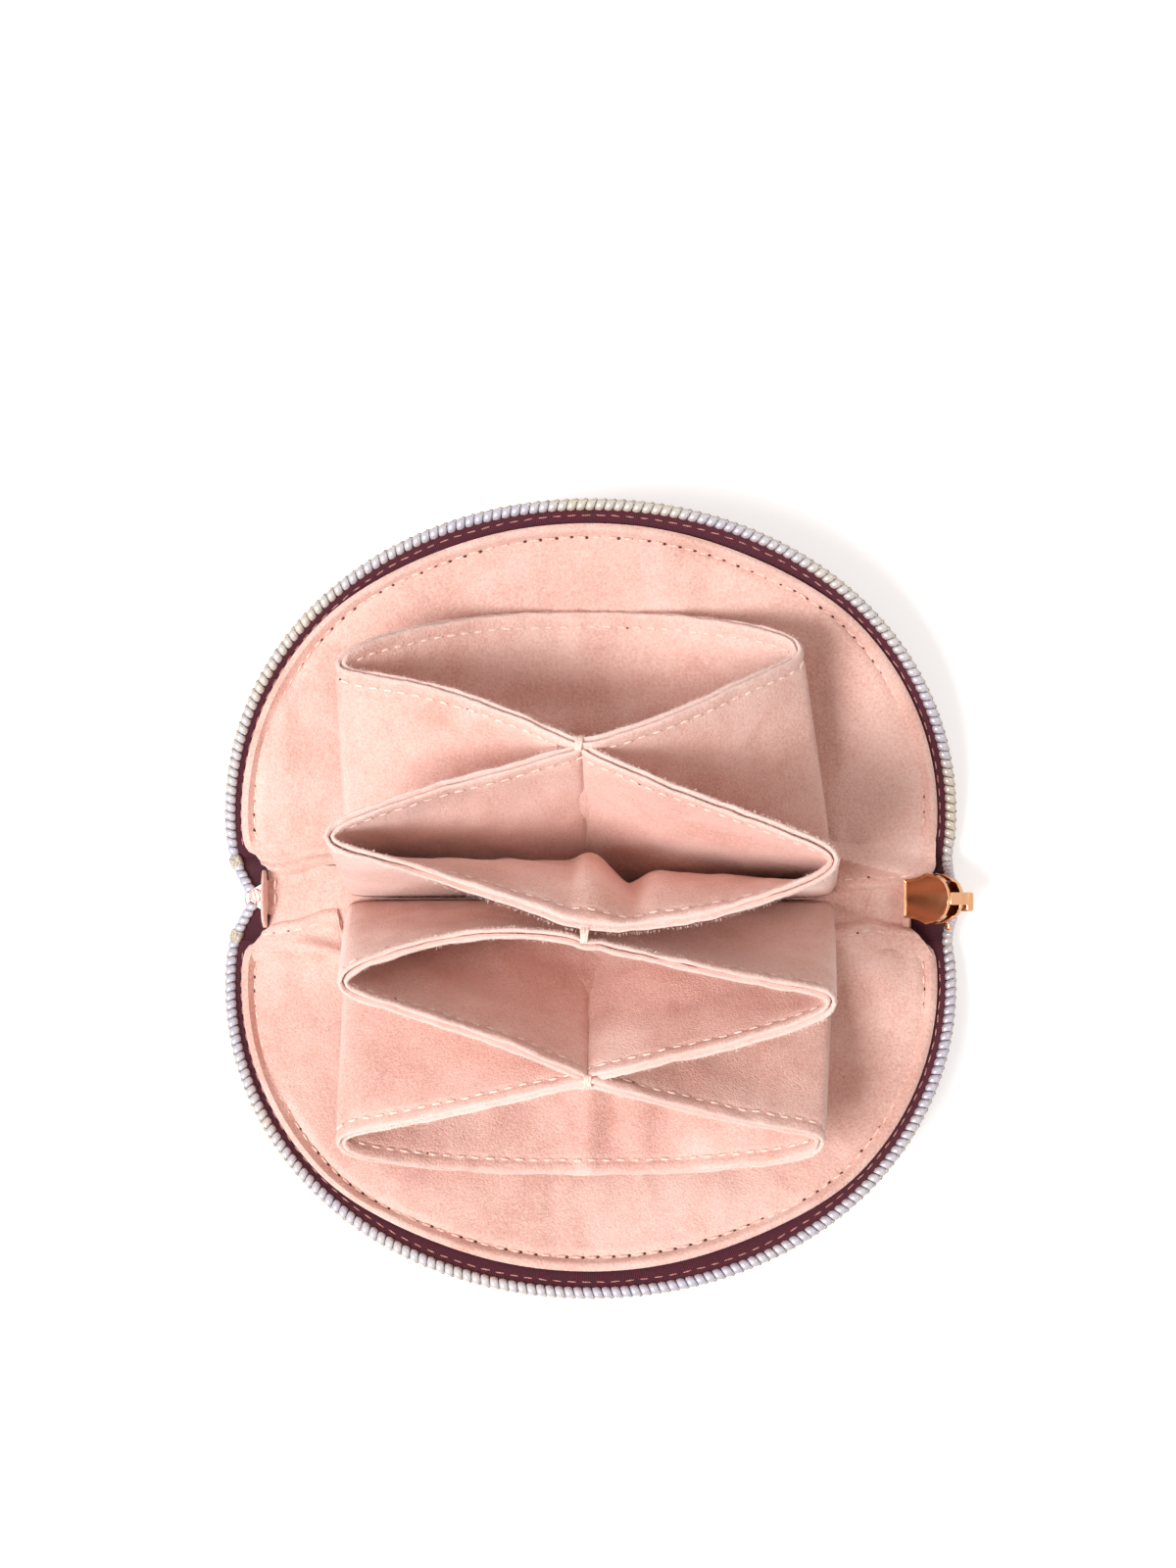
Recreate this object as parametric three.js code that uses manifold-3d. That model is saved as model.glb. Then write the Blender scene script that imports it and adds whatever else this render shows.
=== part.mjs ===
// Half-moon zip-round jewelry case, lying open: two bowed D-shaped shells, a narrow base between
// them, and four suede pockets that fan out from the base and are tacked together at their rims.
// Millimetres, +Z up, +Y towards the rear shell, +X towards the zip slider.
// The origin is in the middle of the base's underside.
import * as THREE from 'three';
import { mergeVertices } from 'three/addons/utils/BufferGeometryUtils.js';
import Module from 'manifold-3d';

const wasm = await Module();
wasm.setup();

// D outline of each shell, measured from its hinge line
const OUTLINE_HALF_WIDTH = 69.4;
const OUTLINE_RISE = 62.1;
const OUTLINE_CURL = 56;
const WIDEST_ABOVE_HINGE = 6.5;
const OUTLINE_STEPS = 32;
const BOTTOM_STEPS = 8;

// how a shell is bowed and how it lies when the case is open
const BOWL_DEPTH = 6.5;
const BOWL_START = 30;
const BOWL_POWER = 3;
const OPEN_TILT = THREE.MathUtils.degToRad(17);
const HINGE_GAP = 0.5;
const HINGE_LIFT = 0.8;

// layers of a shell, from the suede inwards to the leather outside
const LINING_THICKNESS = 0.8;
const BOARD_THICKNESS = 1;
const LEATHER_THICKNESS = 1.4;
const TAPE_THICKNESS = 0.7;
const LAYER_GAP = 0.3;
const LEATHER_INSET = 2.6;
const LINING_INSET = 3.2;
const BOARD_INSET = 10;

// zip tape and teeth along the rim
const TAPE_OUTER_INSET = 2.3;
const TAPE_INNER_INSET = 8.8;
const CORD_OUTER_INSET = 0.9;
const CORD_INNER_INSET = 2.1;
const TOOTH_REACH = 1.5;
const CORD_HEIGHT = 1.6;
const TOOTH_HEIGHT = 2.2;
const TOOTH_COUNT = 72;
const TOOTH_SHARE = 0.58;
const ZIP_END_ABOVE_HINGE = 1.8;
const STOP_LENGTH = 2.4;

// base strip
const BASE_HALF_WIDTH = 7;
const BASE_HALF_LENGTH = 60.3;
const BASE_TAPER_LENGTH = 13;
const BASE_END_HALF_WIDTH = 4.4;
const BASE_CORNER = 1.5;
const BASE_BOARD_THICKNESS = 1.8;
const BASE_LINING_THICKNESS = 0.8;
const BASE_BOARD_MARGIN = 1.5;
const END_WALL_THICKNESS = 1.6;
const END_WALL_HALF_WIDTH = 4;
const END_WALL_HEIGHT = 4;
const END_WALL_SETBACK = 0.4;

// pockets: every wall is a fan of straight fibres from the base up to the rim
const POCKET_HEIGHT = 48;
const POCKET_HALF_WIDTH = 46.5;
const WALL_THICKNESS = 1;
const POCKET_PITCH = 3.3;
const SLIT_HALF_GAP = 0.9;
const FOLD_SWELL = 1.2;
const FOLD_SWELL_POWER = 6;
const FOLD_ROUNDING = 16;
const POCKET_FLOOR = 1.2;
const POCKET_SEAT_GAP = 0.8;
const WALL_STEPS = 14;
const FOLD_CROWDING = 0.35;
const HEIGHT_STEPS = 3;
// place counts pitches from the middle; left, right and middle are leans in degrees from upright,
// positive to the rear; a bow leans the wall further half way to its fold; reaches are at the rim
const POCKETS = [
  {
    place: 1.5,
    fold: { left: { lean: 52, reach: 45 }, right: { lean: 58, reach: 37.5 } },
    back: { middle: 77, left: 6, right: 6 },
    front: { middle: 28.5, left: 2, right: -2 },
  },
  {
    place: 0.5,
    fold: { left: { lean: 11, reach: 44.8 }, right: { lean: 6, reach: 41.5 } },
    back: { middle: 27.3, left: 2.5, right: 0.6 },
    front: { middle: -6.8, left: 0, right: -4 },
  },
  {
    place: -0.5,
    fold: { left: { lean: -15.5, reach: 42.6 }, right: { lean: -20, reach: 41.4 } },
    back: { middle: -8.3, left: 5, right: 0 },
    front: { middle: -35.2, left: 0, right: -6 },
  },
  {
    place: -1.5,
    fold: { left: { lean: -55.5, reach: 45.2 }, right: { lean: -55.5, reach: 41.5 } },
    back: { middle: -36.2, left: 1, right: 0 },
    front: { middle: -72, left: -5, right: -5 },
  },
];
const TACK_LENGTH = 4.2;
const TACK_WIDTH = 1.3;
const TACK_THICKNESS = 0.7;
const TACK_GAP = 0.3;

// zip slider and its pull
const SLIDER_BEYOND_BASE = 5.2;
const SLIDER_Z = 11;
const SLIDER_LEAN = THREE.MathUtils.degToRad(51.6);
const SLIDER_LENGTH = 11.4;
const SLIDER_WIDTH = 9.8;
const SLIDER_TAIL_WIDTH = 7.4;
const SLIDER_SHOULDER = 5.6;
const SLIDER_CHANNEL = 2.8;
const PLATE_THICKNESS = 0.9;
const FLANGE_THICKNESS = 0.8;
const FLANGE_HEIGHT = 0.8;
const POST_WIDTH = 2.2;
const POST_LENGTH = 3.4;
const CROWN_LENGTH = 7.4;
const CROWN_HEIGHT = 3.9;
const CROWN_WIDTH = 2.3;
const CROWN_BAR = 1;
const PULL_LENGTH = 8;
const PULL_RING_WIDTH = 8.6;
const PULL_TAB_WIDTH = 4.6;
const PULL_THICKNESS = 1;
const PULL_EYE_WIDTH = 6.4;
const PULL_EYE_LENGTH = 3.1;
const PULL_BAR = 1;

const SLIDER_X = BASE_HALF_LENGTH + SLIDER_BEYOND_BASE;
const SHELL_THICKNESS = LINING_THICKNESS + BOARD_THICKNESS + LEATHER_THICKNESS + 2 * LAYER_GAP;
const HINGE_Z = SHELL_THICKNESS + HINGE_LIFT;
const BOARD_TOP = -LINING_THICKNESS - LAYER_GAP;
const LEATHER_TOP = BOARD_TOP - BOARD_THICKNESS - LAYER_GAP;
const TAPE_TOP = BOARD_TOP - (BOARD_THICKNESS - TAPE_THICKNESS) / 2;
const ZIP_MIDDLE = TAPE_TOP - TAPE_THICKNESS / 2;
const BASE_TOP = LEATHER_THICKNESS + BASE_BOARD_THICKNESS + BASE_LINING_THICKNESS;

const suede = { color: 0xe9b9a6, roughness: 0.95, metalness: 0 };
const leather = { color: 0x5a1426, roughness: 0.55, metalness: 0 };
const boardGrey = { color: 0x8f8a82, roughness: 0.9, metalness: 0 };
const tapeCloth = { color: 0x4a0f20, roughness: 0.85, metalness: 0 };
const silver = { color: 0xd7d4d8, roughness: 0.35, metalness: 0.8 };
const gold = { color: 0xe3a868, roughness: 0.2, metalness: 1 };
const thread = { color: 0xf3d4c4, roughness: 0.8, metalness: 0 };

function piece(name, geometry, look) {
  const mesh = new THREE.Mesh(geometry, new THREE.MeshStandardMaterial(look));
  mesh.name = name;
  return mesh;
}

function fromTriangles(points, triangles) {
  const geometry = new THREE.BufferGeometry();
  geometry.setAttribute('position', new THREE.Float32BufferAttribute(points.flat(), 3));
  geometry.setIndex(triangles.flat());
  geometry.computeVertexNormals();
  return geometry;
}

function toSolid(geometry) {
  const bare = geometry.clone();
  bare.deleteAttribute('normal');
  bare.deleteAttribute('uv');
  const merged = mergeVertices(bare, 1e-4);
  return new wasm.Manifold(new wasm.Mesh({
    numProp: 3,
    vertProperties: new Float32Array(merged.attributes.position.array),
    triVerts: new Uint32Array(merged.index.array),
  }));
}

function fromSolid(solid) {
  const mesh = solid.getMesh();
  const geometry = new THREE.BufferGeometry();
  geometry.setAttribute('position', new THREE.BufferAttribute(mesh.vertProperties, 3));
  geometry.setIndex(new THREE.BufferAttribute(mesh.triVerts, 1));
  geometry.computeVertexNormals();
  return geometry;
}

// one point of the D outline, drawn in square to it by an inset; angle 0 is the widest point
function outlinePoint(angle, inset) {
  const rise = Math.sin(angle) > 0 ? OUTLINE_RISE : OUTLINE_CURL;
  const across = Math.cos(angle) / OUTLINE_HALF_WIDTH;
  const up = Math.sin(angle) / rise;
  const size = Math.hypot(across, up);
  return {
    u: OUTLINE_HALF_WIDTH * Math.cos(angle) - inset * across / size,
    v: WIDEST_ABOVE_HINGE + rise * Math.sin(angle) - inset * up / size,
  };
}

// angle at which the drawn-in outline passes a given height above the hinge line
function outlineAngle(height, inset) {
  let low = -Math.PI / 2;
  let high = 0;
  for (let i = 0; i < 40; i += 1) {
    const middle = (low + high) / 2;
    if (outlinePoint(middle, inset).v < height) low = middle;
    else high = middle;
  }
  return low;
}

// points evenly spaced along the outline, from the right end over the top to the left end
function alongOutline(steps, inset, height) {
  const first = outlineAngle(height, inset);
  const samples = 40 * OUTLINE_STEPS;
  const fine = [];
  const lengths = [0];
  for (let i = 0; i <= samples; i += 1) {
    fine.push(outlinePoint(first + (Math.PI - 2 * first) * i / samples, inset));
    if (i > 0) {
      const step = Math.hypot(fine[i].u - fine[i - 1].u, fine[i].v - fine[i - 1].v);
      lengths.push(lengths[i - 1] + step);
    }
  }
  const spots = [];
  let j = 1;
  for (let k = 0; k <= steps; k += 1) {
    const wanted = lengths[samples] * k / steps;
    while (j < samples && lengths[j] < wanted) j += 1;
    const share = (wanted - lengths[j - 1]) / (lengths[j] - lengths[j - 1]);
    spots.push({
      u: fine[j - 1].u + (fine[j].u - fine[j - 1].u) * share,
      v: fine[j - 1].v + (fine[j].v - fine[j - 1].v) * share,
    });
  }
  return spots;
}

// how far the bowed shell lies below the flat plane through its rim and hinge line
function bowl(u, v) {
  const rise = v > WIDEST_ABOVE_HINGE ? OUTLINE_RISE : OUTLINE_CURL;
  const out = Math.min(1, Math.hypot(u / OUTLINE_HALF_WIDTH, (v - WIDEST_ABOVE_HINGE) / rise));
  const start = Math.min(1, v / BOWL_START);
  return BOWL_DEPTH * (1 - out ** BOWL_POWER) * (1 - (1 - start) ** 2);
}

// a shell's own frame: x along the hinge, y away from it (turned round on the front shell), z up
function onShell(side, u, v, w) {
  return [u, side * v, w - bowl(u, v)];
}

function facing(side, triangles) {
  return side > 0 ? triangles : triangles.map(([a, b, c]) => [a, c, b]);
}

// one layer of a shell: the whole D, with its top and underside following the bowl
function shellLayer(side, inset, top, thickness) {
  const edge = alongOutline(OUTLINE_STEPS, inset, HINGE_GAP);
  const left = edge[OUTLINE_STEPS];
  const right = edge[0];
  for (let i = 1; i < BOTTOM_STEPS; i += 1) {
    const along = i / BOTTOM_STEPS;
    edge.push({ u: left.u + (right.u - left.u) * along, v: HINGE_GAP });
  }
  const rings = [0.3, 0.55, 0.75, 0.9, 1];
  const n = edge.length;
  const points = [];
  for (const w of [top, top - thickness]) {
    points.push(onShell(side, 0, WIDEST_ABOVE_HINGE, w));
    for (const ring of rings) {
      for (const spot of edge) {
        const v = WIDEST_ABOVE_HINGE + (spot.v - WIDEST_ABOVE_HINGE) * ring;
        points.push(onShell(side, spot.u * ring, v, w));
      }
    }
  }
  const layer = 1 + rings.length * n;
  const triangles = [];
  for (let i = 0; i < n; i += 1) {
    const next = (i + 1) % n;
    triangles.push([0, 1 + i, 1 + next]);
    triangles.push([layer, layer + 1 + next, layer + 1 + i]);
    for (let r = 1; r < rings.length; r += 1) {
      const a = 1 + (r - 1) * n + i;
      const b = 1 + (r - 1) * n + next;
      const c = 1 + r * n + i;
      const d = 1 + r * n + next;
      triangles.push([a, c, d], [a, d, b]);
      triangles.push([layer + a, layer + d, layer + c], [layer + a, layer + b, layer + d]);
    }
    const o = 1 + (rings.length - 1) * n;
    triangles.push([o + i, layer + o + i, layer + o + next]);
    triangles.push([o + i, layer + o + next, o + next]);
  }
  return fromTriangles(points, facing(side, triangles));
}

// a run of four-cornered sections joined into one closed band
function band(side, sections) {
  const points = sections.flat();
  const triangles = [];
  const last = sections.length - 1;
  for (let s = 0; s < last; s += 1) {
    for (let c = 0; c < 4; c += 1) {
      const a = 4 * s + c;
      const b = 4 * s + (c + 1) % 4;
      triangles.push([a, a + 4, b + 4], [a, b + 4, b]);
    }
  }
  triangles.push([0, 1, 2], [0, 2, 3]);
  triangles.push([4 * last, 4 * last + 2, 4 * last + 1], [4 * last, 4 * last + 3, 4 * last + 2]);
  return fromTriangles(points, facing(side, triangles));
}

// section across the rim between two insets, at the place of one outline point
function rimSection(side, spots, k, outer, inner, middle, height) {
  const before = spots[Math.max(0, k - 1)];
  const after = spots[Math.min(spots.length - 1, k + 1)];
  const span = Math.hypot(after.u - before.u, after.v - before.v);
  const inward = { u: -(after.v - before.v) / span, v: (after.u - before.u) / span };
  const at = (inset, w) => {
    const u = spots[k].u + inward.u * inset;
    const v = spots[k].v + inward.v * inset;
    return onShell(side, u, v, w);
  };
  return [
    at(outer, middle + height / 2),
    at(inner, middle + height / 2),
    at(inner, middle - height / 2),
    at(outer, middle - height / 2),
  ];
}

function zipTape(side) {
  const spots = alongOutline(2 * OUTLINE_STEPS, 0, ZIP_END_ABOVE_HINGE - STOP_LENGTH);
  const sections = spots.map((spot, k) => (
    rimSection(side, spots, k, TAPE_OUTER_INSET, TAPE_INNER_INSET, ZIP_MIDDLE, TAPE_THICKNESS)
  ));
  return band(side, sections);
}

// the row of teeth on its cord, as one piece
function zipTeeth(side) {
  const perTooth = 40;
  const fine = alongOutline(TOOTH_COUNT * perTooth, 0, ZIP_END_ABOVE_HINGE);
  const blank = Math.round(perTooth * (1 - TOOTH_SHARE) / 2);
  const flank = 3;
  const sections = [];
  const cut = (k, wide) => {
    const outer = wide ? CORD_OUTER_INSET - TOOTH_REACH : CORD_OUTER_INSET;
    const height = wide ? TOOTH_HEIGHT : CORD_HEIGHT;
    sections.push(rimSection(side, fine, k, outer, CORD_INNER_INSET, ZIP_MIDDLE, height));
  };
  for (let tooth = 0; tooth < TOOTH_COUNT; tooth += 1) {
    const start = tooth * perTooth;
    cut(start + blank - flank, false);
    cut(start + blank, true);
    cut(start + perTooth - blank, true);
    cut(start + perTooth - blank + flank, false);
  }
  return band(side, sections);
}

// the stop that ends a row of teeth at the left-hand end
function topStop(side) {
  const spots = alongOutline(400, 0, ZIP_END_ABOVE_HINGE - STOP_LENGTH);
  const ends = [spots.length - 5, spots.length - 3, spots.length - 1];
  const sections = ends.map((k) => (
    rimSection(side, spots, k, CORD_OUTER_INSET, CORD_INNER_INSET, ZIP_MIDDLE, TOOTH_HEIGHT)
  ));
  return band(side, sections);
}

function shell(side, word) {
  const group = new THREE.Group();
  group.position.set(0, side * BASE_HALF_WIDTH, HINGE_Z);
  group.rotation.x = side * OPEN_TILT;
  const lining = shellLayer(side, LINING_INSET, 0, LINING_THICKNESS);
  const board = shellLayer(side, BOARD_INSET, BOARD_TOP, BOARD_THICKNESS);
  const outside = shellLayer(side, LEATHER_INSET, LEATHER_TOP, LEATHER_THICKNESS);
  group.add(piece(`${word}_lining`, lining, suede));
  group.add(piece(`${word}_board`, board, boardGrey));
  group.add(piece(`${word}_leather`, outside, leather));
  group.add(piece(`${word}_zip_tape`, zipTape(side), tapeCloth));
  group.add(piece(`${word}_zip_teeth`, zipTeeth(side), silver));
  group.add(piece(`${word}_top_stop`, topStop(side), gold));
  return group;
}

// plan of a base layer: a long strip that narrows towards its rounded ends
function strip(margin, bottom, thickness) {
  const shape = new THREE.Shape();
  const length = BASE_HALF_LENGTH - margin;
  const wide = BASE_HALF_WIDTH - HINGE_GAP - margin;
  const narrow = BASE_END_HALF_WIDTH - margin;
  const taper = length - BASE_TAPER_LENGTH;
  shape.moveTo(-taper, -wide);
  shape.lineTo(taper, -wide);
  shape.quadraticCurveTo(taper + BASE_TAPER_LENGTH / 2, -wide, length - BASE_CORNER, -narrow);
  shape.quadraticCurveTo(length, -narrow, length, BASE_CORNER - narrow);
  shape.lineTo(length, narrow - BASE_CORNER);
  shape.quadraticCurveTo(length, narrow, length - BASE_CORNER, narrow);
  shape.quadraticCurveTo(taper + BASE_TAPER_LENGTH / 2, wide, taper, wide);
  shape.lineTo(-taper, wide);
  shape.quadraticCurveTo(-taper - BASE_TAPER_LENGTH / 2, wide, BASE_CORNER - length, narrow);
  shape.quadraticCurveTo(-length, narrow, -length, narrow - BASE_CORNER);
  shape.lineTo(-length, BASE_CORNER - narrow);
  shape.quadraticCurveTo(-length, -narrow, BASE_CORNER - length, -narrow);
  shape.quadraticCurveTo(-taper - BASE_TAPER_LENGTH / 2, -wide, -taper, -wide);
  const options = { depth: thickness, bevelEnabled: false, curveSegments: 5 };
  const geometry = new THREE.ExtrudeGeometry(shape, options);
  geometry.translate(0, 0, bottom);
  return geometry;
}

// the small upright wall that closes the case at one end of the base
function endWall(side) {
  const shape = new THREE.Shape();
  const shoulder = END_WALL_HEIGHT - END_WALL_HALF_WIDTH * 0.5;
  shape.moveTo(-END_WALL_HALF_WIDTH, 0);
  shape.lineTo(END_WALL_HALF_WIDTH, 0);
  shape.lineTo(END_WALL_HALF_WIDTH, shoulder);
  shape.quadraticCurveTo(END_WALL_HALF_WIDTH * 0.8, END_WALL_HEIGHT, 0, END_WALL_HEIGHT);
  shape.quadraticCurveTo(
    -END_WALL_HALF_WIDTH * 0.8,
    END_WALL_HEIGHT,
    -END_WALL_HALF_WIDTH,
    shoulder,
  );
  shape.closePath();
  const options = { depth: END_WALL_THICKNESS, bevelEnabled: false, curveSegments: 6 };
  const geometry = new THREE.ExtrudeGeometry(shape, options);
  geometry.rotateX(Math.PI / 2);
  geometry.rotateZ(Math.PI / 2);
  const from = BASE_HALF_LENGTH - END_WALL_SETBACK - END_WALL_THICKNESS;
  const x = side > 0 ? from : -from - END_WALL_THICKNESS;
  geometry.translate(x, 0, BASE_TOP);
  return geometry;
}

function base() {
  const group = new THREE.Group();
  const liningBottom = LEATHER_THICKNESS + BASE_BOARD_THICKNESS;
  const outside = strip(0, 0, LEATHER_THICKNESS);
  const board = strip(BASE_BOARD_MARGIN, LEATHER_THICKNESS, BASE_BOARD_THICKNESS);
  const lining = strip(0, liningBottom, BASE_LINING_THICKNESS);
  group.add(piece('base_leather', outside, leather));
  group.add(piece('base_board', board, boardGrey));
  group.add(piece('base_lining', lining, suede));
  group.add(piece('left_end_wall', endWall(-1), suede));
  group.add(piece('right_end_wall', endWall(1), suede));
  return group;
}

// the lean of one fibre: at a side fold for s = -1 or 1 and at the tacked middle for s = 0
function fibreLean(pocket, rear, s) {
  const wall = rear ? pocket.back : pocket.front;
  const hand = s < 0 ? 'left' : 'right';
  const out = Math.abs(s);
  const straight = wall.middle + (pocket.fold[hand].lean - wall.middle) * out;
  return THREE.MathUtils.degToRad(straight + 4 * wall[hand] * out * (1 - out));
}

// middle line of the pocket wall at a height above the pocket's foot
function wallPoint(pocket, rear, s, height) {
  const lean = fibreLean(pocket, rear, s);
  const up = height / POCKET_HEIGHT;
  const out = Math.abs(s);
  const round = Math.sqrt(Math.max(0, 1 - out ** FOLD_ROUNDING));
  const swell = FOLD_SWELL * up * out ** FOLD_SWELL_POWER;
  const open = (rear ? 1 : -1) * (SLIT_HALF_GAP + swell) * round;
  const reach = pocket.fold[s < 0 ? 'left' : 'right'].reach;
  const x = s * (POCKET_HALF_WIDTH + (reach - POCKET_HALF_WIDTH) * up);
  const y = pocket.place * POCKET_PITCH + open + height * Math.sin(lean);
  return new THREE.Vector3(x, y, BASE_TOP + POCKET_SEAT_GAP + height * Math.cos(lean));
}

// the loop of a pocket at one height: rear wall left to right, then front wall back again
function pocketLoop(pocket, height) {
  const loop = [];
  for (const rear of [true, false]) {
    for (let i = 0; i < WALL_STEPS; i += 1) {
      const turn = -Math.cos(Math.PI * i / WALL_STEPS);
      const even = -1 + 2 * i / WALL_STEPS;
      const s = FOLD_CROWDING * turn + (1 - FOLD_CROWDING) * even;
      loop.push(wallPoint(pocket, rear, rear ? s : -s, height));
    }
  }
  return loop;
}

// the loop moved out or in by half the wall's thickness
function offsetLoop(pocket, height, distance) {
  const loop = pocketLoop(pocket, height);
  const above = pocketLoop(pocket, height + 1);
  return loop.map((point, i) => {
    const before = loop[(i + loop.length - 1) % loop.length];
    const after = loop[(i + 1) % loop.length];
    const along = after.clone().sub(before);
    const up = above[i].clone().sub(point);
    const out = up.cross(along).normalize();
    return point.clone().addScaledVector(out, distance).toArray();
  });
}

function pocketCup(pocket) {
  const outside = [];
  const inside = [];
  for (let h = 0; h <= HEIGHT_STEPS; h += 1) {
    const share = h / HEIGHT_STEPS;
    const inner = POCKET_FLOOR + (POCKET_HEIGHT - POCKET_FLOOR) * share;
    outside.push(offsetLoop(pocket, POCKET_HEIGHT * share, WALL_THICKNESS / 2));
    inside.push(offsetLoop(pocket, inner, -WALL_THICKNESS / 2));
  }
  const rings = [...outside, ...inside.reverse()];
  const n = rings[0].length;
  const points = rings.flat();
  const triangles = [];
  for (let r = 0; r + 1 < rings.length; r += 1) {
    for (let i = 0; i < n; i += 1) {
      const next = (i + 1) % n;
      const a = r * n + i;
      const b = r * n + next;
      triangles.push([a, a + n, b + n], [a, b + n, b]);
    }
  }
  const top = (rings.length - 1) * n;
  for (let i = 0; i < n / 2; i += 1) {
    const a = i;
    const b = i + 1;
    const c = (n - i) % n;
    const d = n - i - 1;
    if (b !== d) {
      triangles.push([a, b, d]);
      triangles.push([top + a, top + d, top + b]);
    }
    if (c !== a) {
      triangles.push([a, d, c]);
      triangles.push([top + a, top + c, top + d]);
    }
  }
  return fromTriangles(points, triangles);
}

// the thread bar that ties the middles of two neighbouring rims together
function rimTack(rear, front) {
  const a = wallPoint(rear, false, 0, POCKET_HEIGHT);
  const b = wallPoint(front, true, 0, POCKET_HEIGHT);
  const shape = new THREE.Shape();
  const half = TACK_LENGTH / 2 - TACK_WIDTH / 2;
  shape.moveTo(-TACK_WIDTH / 2, -half);
  shape.absarc(0, -half, TACK_WIDTH / 2, Math.PI, 2 * Math.PI, false);
  shape.lineTo(TACK_WIDTH / 2, half);
  shape.absarc(0, half, TACK_WIDTH / 2, 0, Math.PI, false);
  shape.closePath();
  const options = { depth: TACK_THICKNESS, bevelEnabled: false, curveSegments: 5 };
  const geometry = new THREE.ExtrudeGeometry(shape, options);
  const lean = (fibreLean(rear, false, 0) + fibreLean(front, true, 0)) / 2;
  geometry.rotateX(-lean);
  const spread = Math.abs(fibreLean(rear, false, 0) - fibreLean(front, true, 0));
  const clear = TACK_GAP + TACK_LENGTH / 2 * Math.sin(spread);
  const y = (a.y + b.y) / 2 + clear * Math.sin(lean);
  const z = Math.max(a.z, b.z) + clear * Math.cos(lean);
  geometry.translate(0, y, z);
  return geometry;
}

function pockets() {
  const group = new THREE.Group();
  POCKETS.forEach((pocket, i) => {
    group.add(piece(`pocket_${i + 1}`, pocketCup(pocket), suede));
  });
  for (let i = 0; i + 1 < POCKETS.length; i += 1) {
    group.add(piece(`rim_tack_${i + 1}`, rimTack(POCKETS[i], POCKETS[i + 1]), thread));
  }
  return group;
}

// plan of a slider plate: narrow tail, wide shoulders and a rounded mouth
function platePlan() {
  const shape = new THREE.Shape();
  const half = SLIDER_LENGTH / 2;
  const tail = SLIDER_TAIL_WIDTH / 2;
  const wide = SLIDER_WIDTH / 2;
  const shoulder = SLIDER_SHOULDER - half;
  shape.moveTo(-half, -tail);
  shape.quadraticCurveTo(shoulder - half * 0.35, -tail, shoulder, -wide);
  shape.quadraticCurveTo(half * 0.95, -wide * 0.9, half, 0);
  shape.quadraticCurveTo(half * 0.95, wide * 0.9, shoulder, wide);
  shape.quadraticCurveTo(shoulder - half * 0.35, tail, -half, tail);
  shape.closePath();
  return shape;
}

function plateAt(low, thickness, shape = platePlan()) {
  const options = { depth: thickness, bevelEnabled: false, curveSegments: 5 };
  const geometry = new THREE.ExtrudeGeometry(shape, options);
  geometry.translate(0, 0, low);
  return geometry;
}

// the side lips of the channel, cut from the plate's own outline
function flangeRing(low) {
  const ring = toSolid(plateAt(low, FLANGE_HEIGHT));
  const inner = plateAt(low - 1, FLANGE_HEIGHT + 2);
  inner.scale(1.4, 1 - 2 * FLANGE_THICKNESS / SLIDER_TAIL_WIDTH, 1);
  return ring.subtract(toSolid(inner));
}

// the bridge that holds the pull on the outer plate, seen from the side
function crown(low) {
  const shape = new THREE.Shape();
  const half = CROWN_LENGTH / 2;
  shape.moveTo(-half, 0);
  shape.quadraticCurveTo(-half, CROWN_HEIGHT, -half * 0.3, CROWN_HEIGHT);
  shape.lineTo(half * 0.3, CROWN_HEIGHT);
  shape.quadraticCurveTo(half, CROWN_HEIGHT, half, 0);
  shape.lineTo(half - CROWN_BAR, 0);
  shape.quadraticCurveTo(half - CROWN_BAR, CROWN_HEIGHT - CROWN_BAR, half * 0.2, CROWN_HEIGHT - CROWN_BAR);
  shape.lineTo(-half * 0.2, CROWN_HEIGHT - CROWN_BAR);
  shape.quadraticCurveTo(CROWN_BAR - half, CROWN_HEIGHT - CROWN_BAR, CROWN_BAR - half, 0);
  shape.closePath();
  const options = { depth: CROWN_WIDTH, bevelEnabled: false, curveSegments: 5 };
  const geometry = new THREE.ExtrudeGeometry(shape, options);
  geometry.rotateX(Math.PI / 2);
  geometry.translate(0, CROWN_WIDTH / 2, low);
  return geometry;
}

const SLIDER_HALF_THICKNESS = SLIDER_CHANNEL / 2 + PLATE_THICKNESS;
const PULL_PIVOT = SLIDER_HALF_THICKNESS + (CROWN_HEIGHT - CROWN_BAR) / 2;

function sliderBody() {
  const gap = SLIDER_CHANNEL / 2;
  const post = new THREE.Shape();
  const mouth = SLIDER_LENGTH / 2 - 0.6;
  post.moveTo(mouth, 0);
  post.lineTo(mouth - POST_LENGTH * 0.45, POST_WIDTH / 2);
  post.lineTo(mouth - POST_LENGTH, 0);
  post.lineTo(mouth - POST_LENGTH * 0.45, -POST_WIDTH / 2);
  post.closePath();
  const sink = 0.1;
  let solid = toSolid(plateAt(gap, PLATE_THICKNESS));
  solid = solid.add(toSolid(plateAt(-gap - PLATE_THICKNESS, PLATE_THICKNESS)));
  solid = solid.add(toSolid(plateAt(-gap - sink, SLIDER_CHANNEL + 2 * sink, post)));
  solid = solid.add(flangeRing(gap - FLANGE_HEIGHT + sink));
  solid = solid.add(flangeRing(-gap - sink));
  solid = solid.add(toSolid(crown(SLIDER_HALF_THICKNESS - sink)));
  return fromSolid(solid);
}

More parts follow.
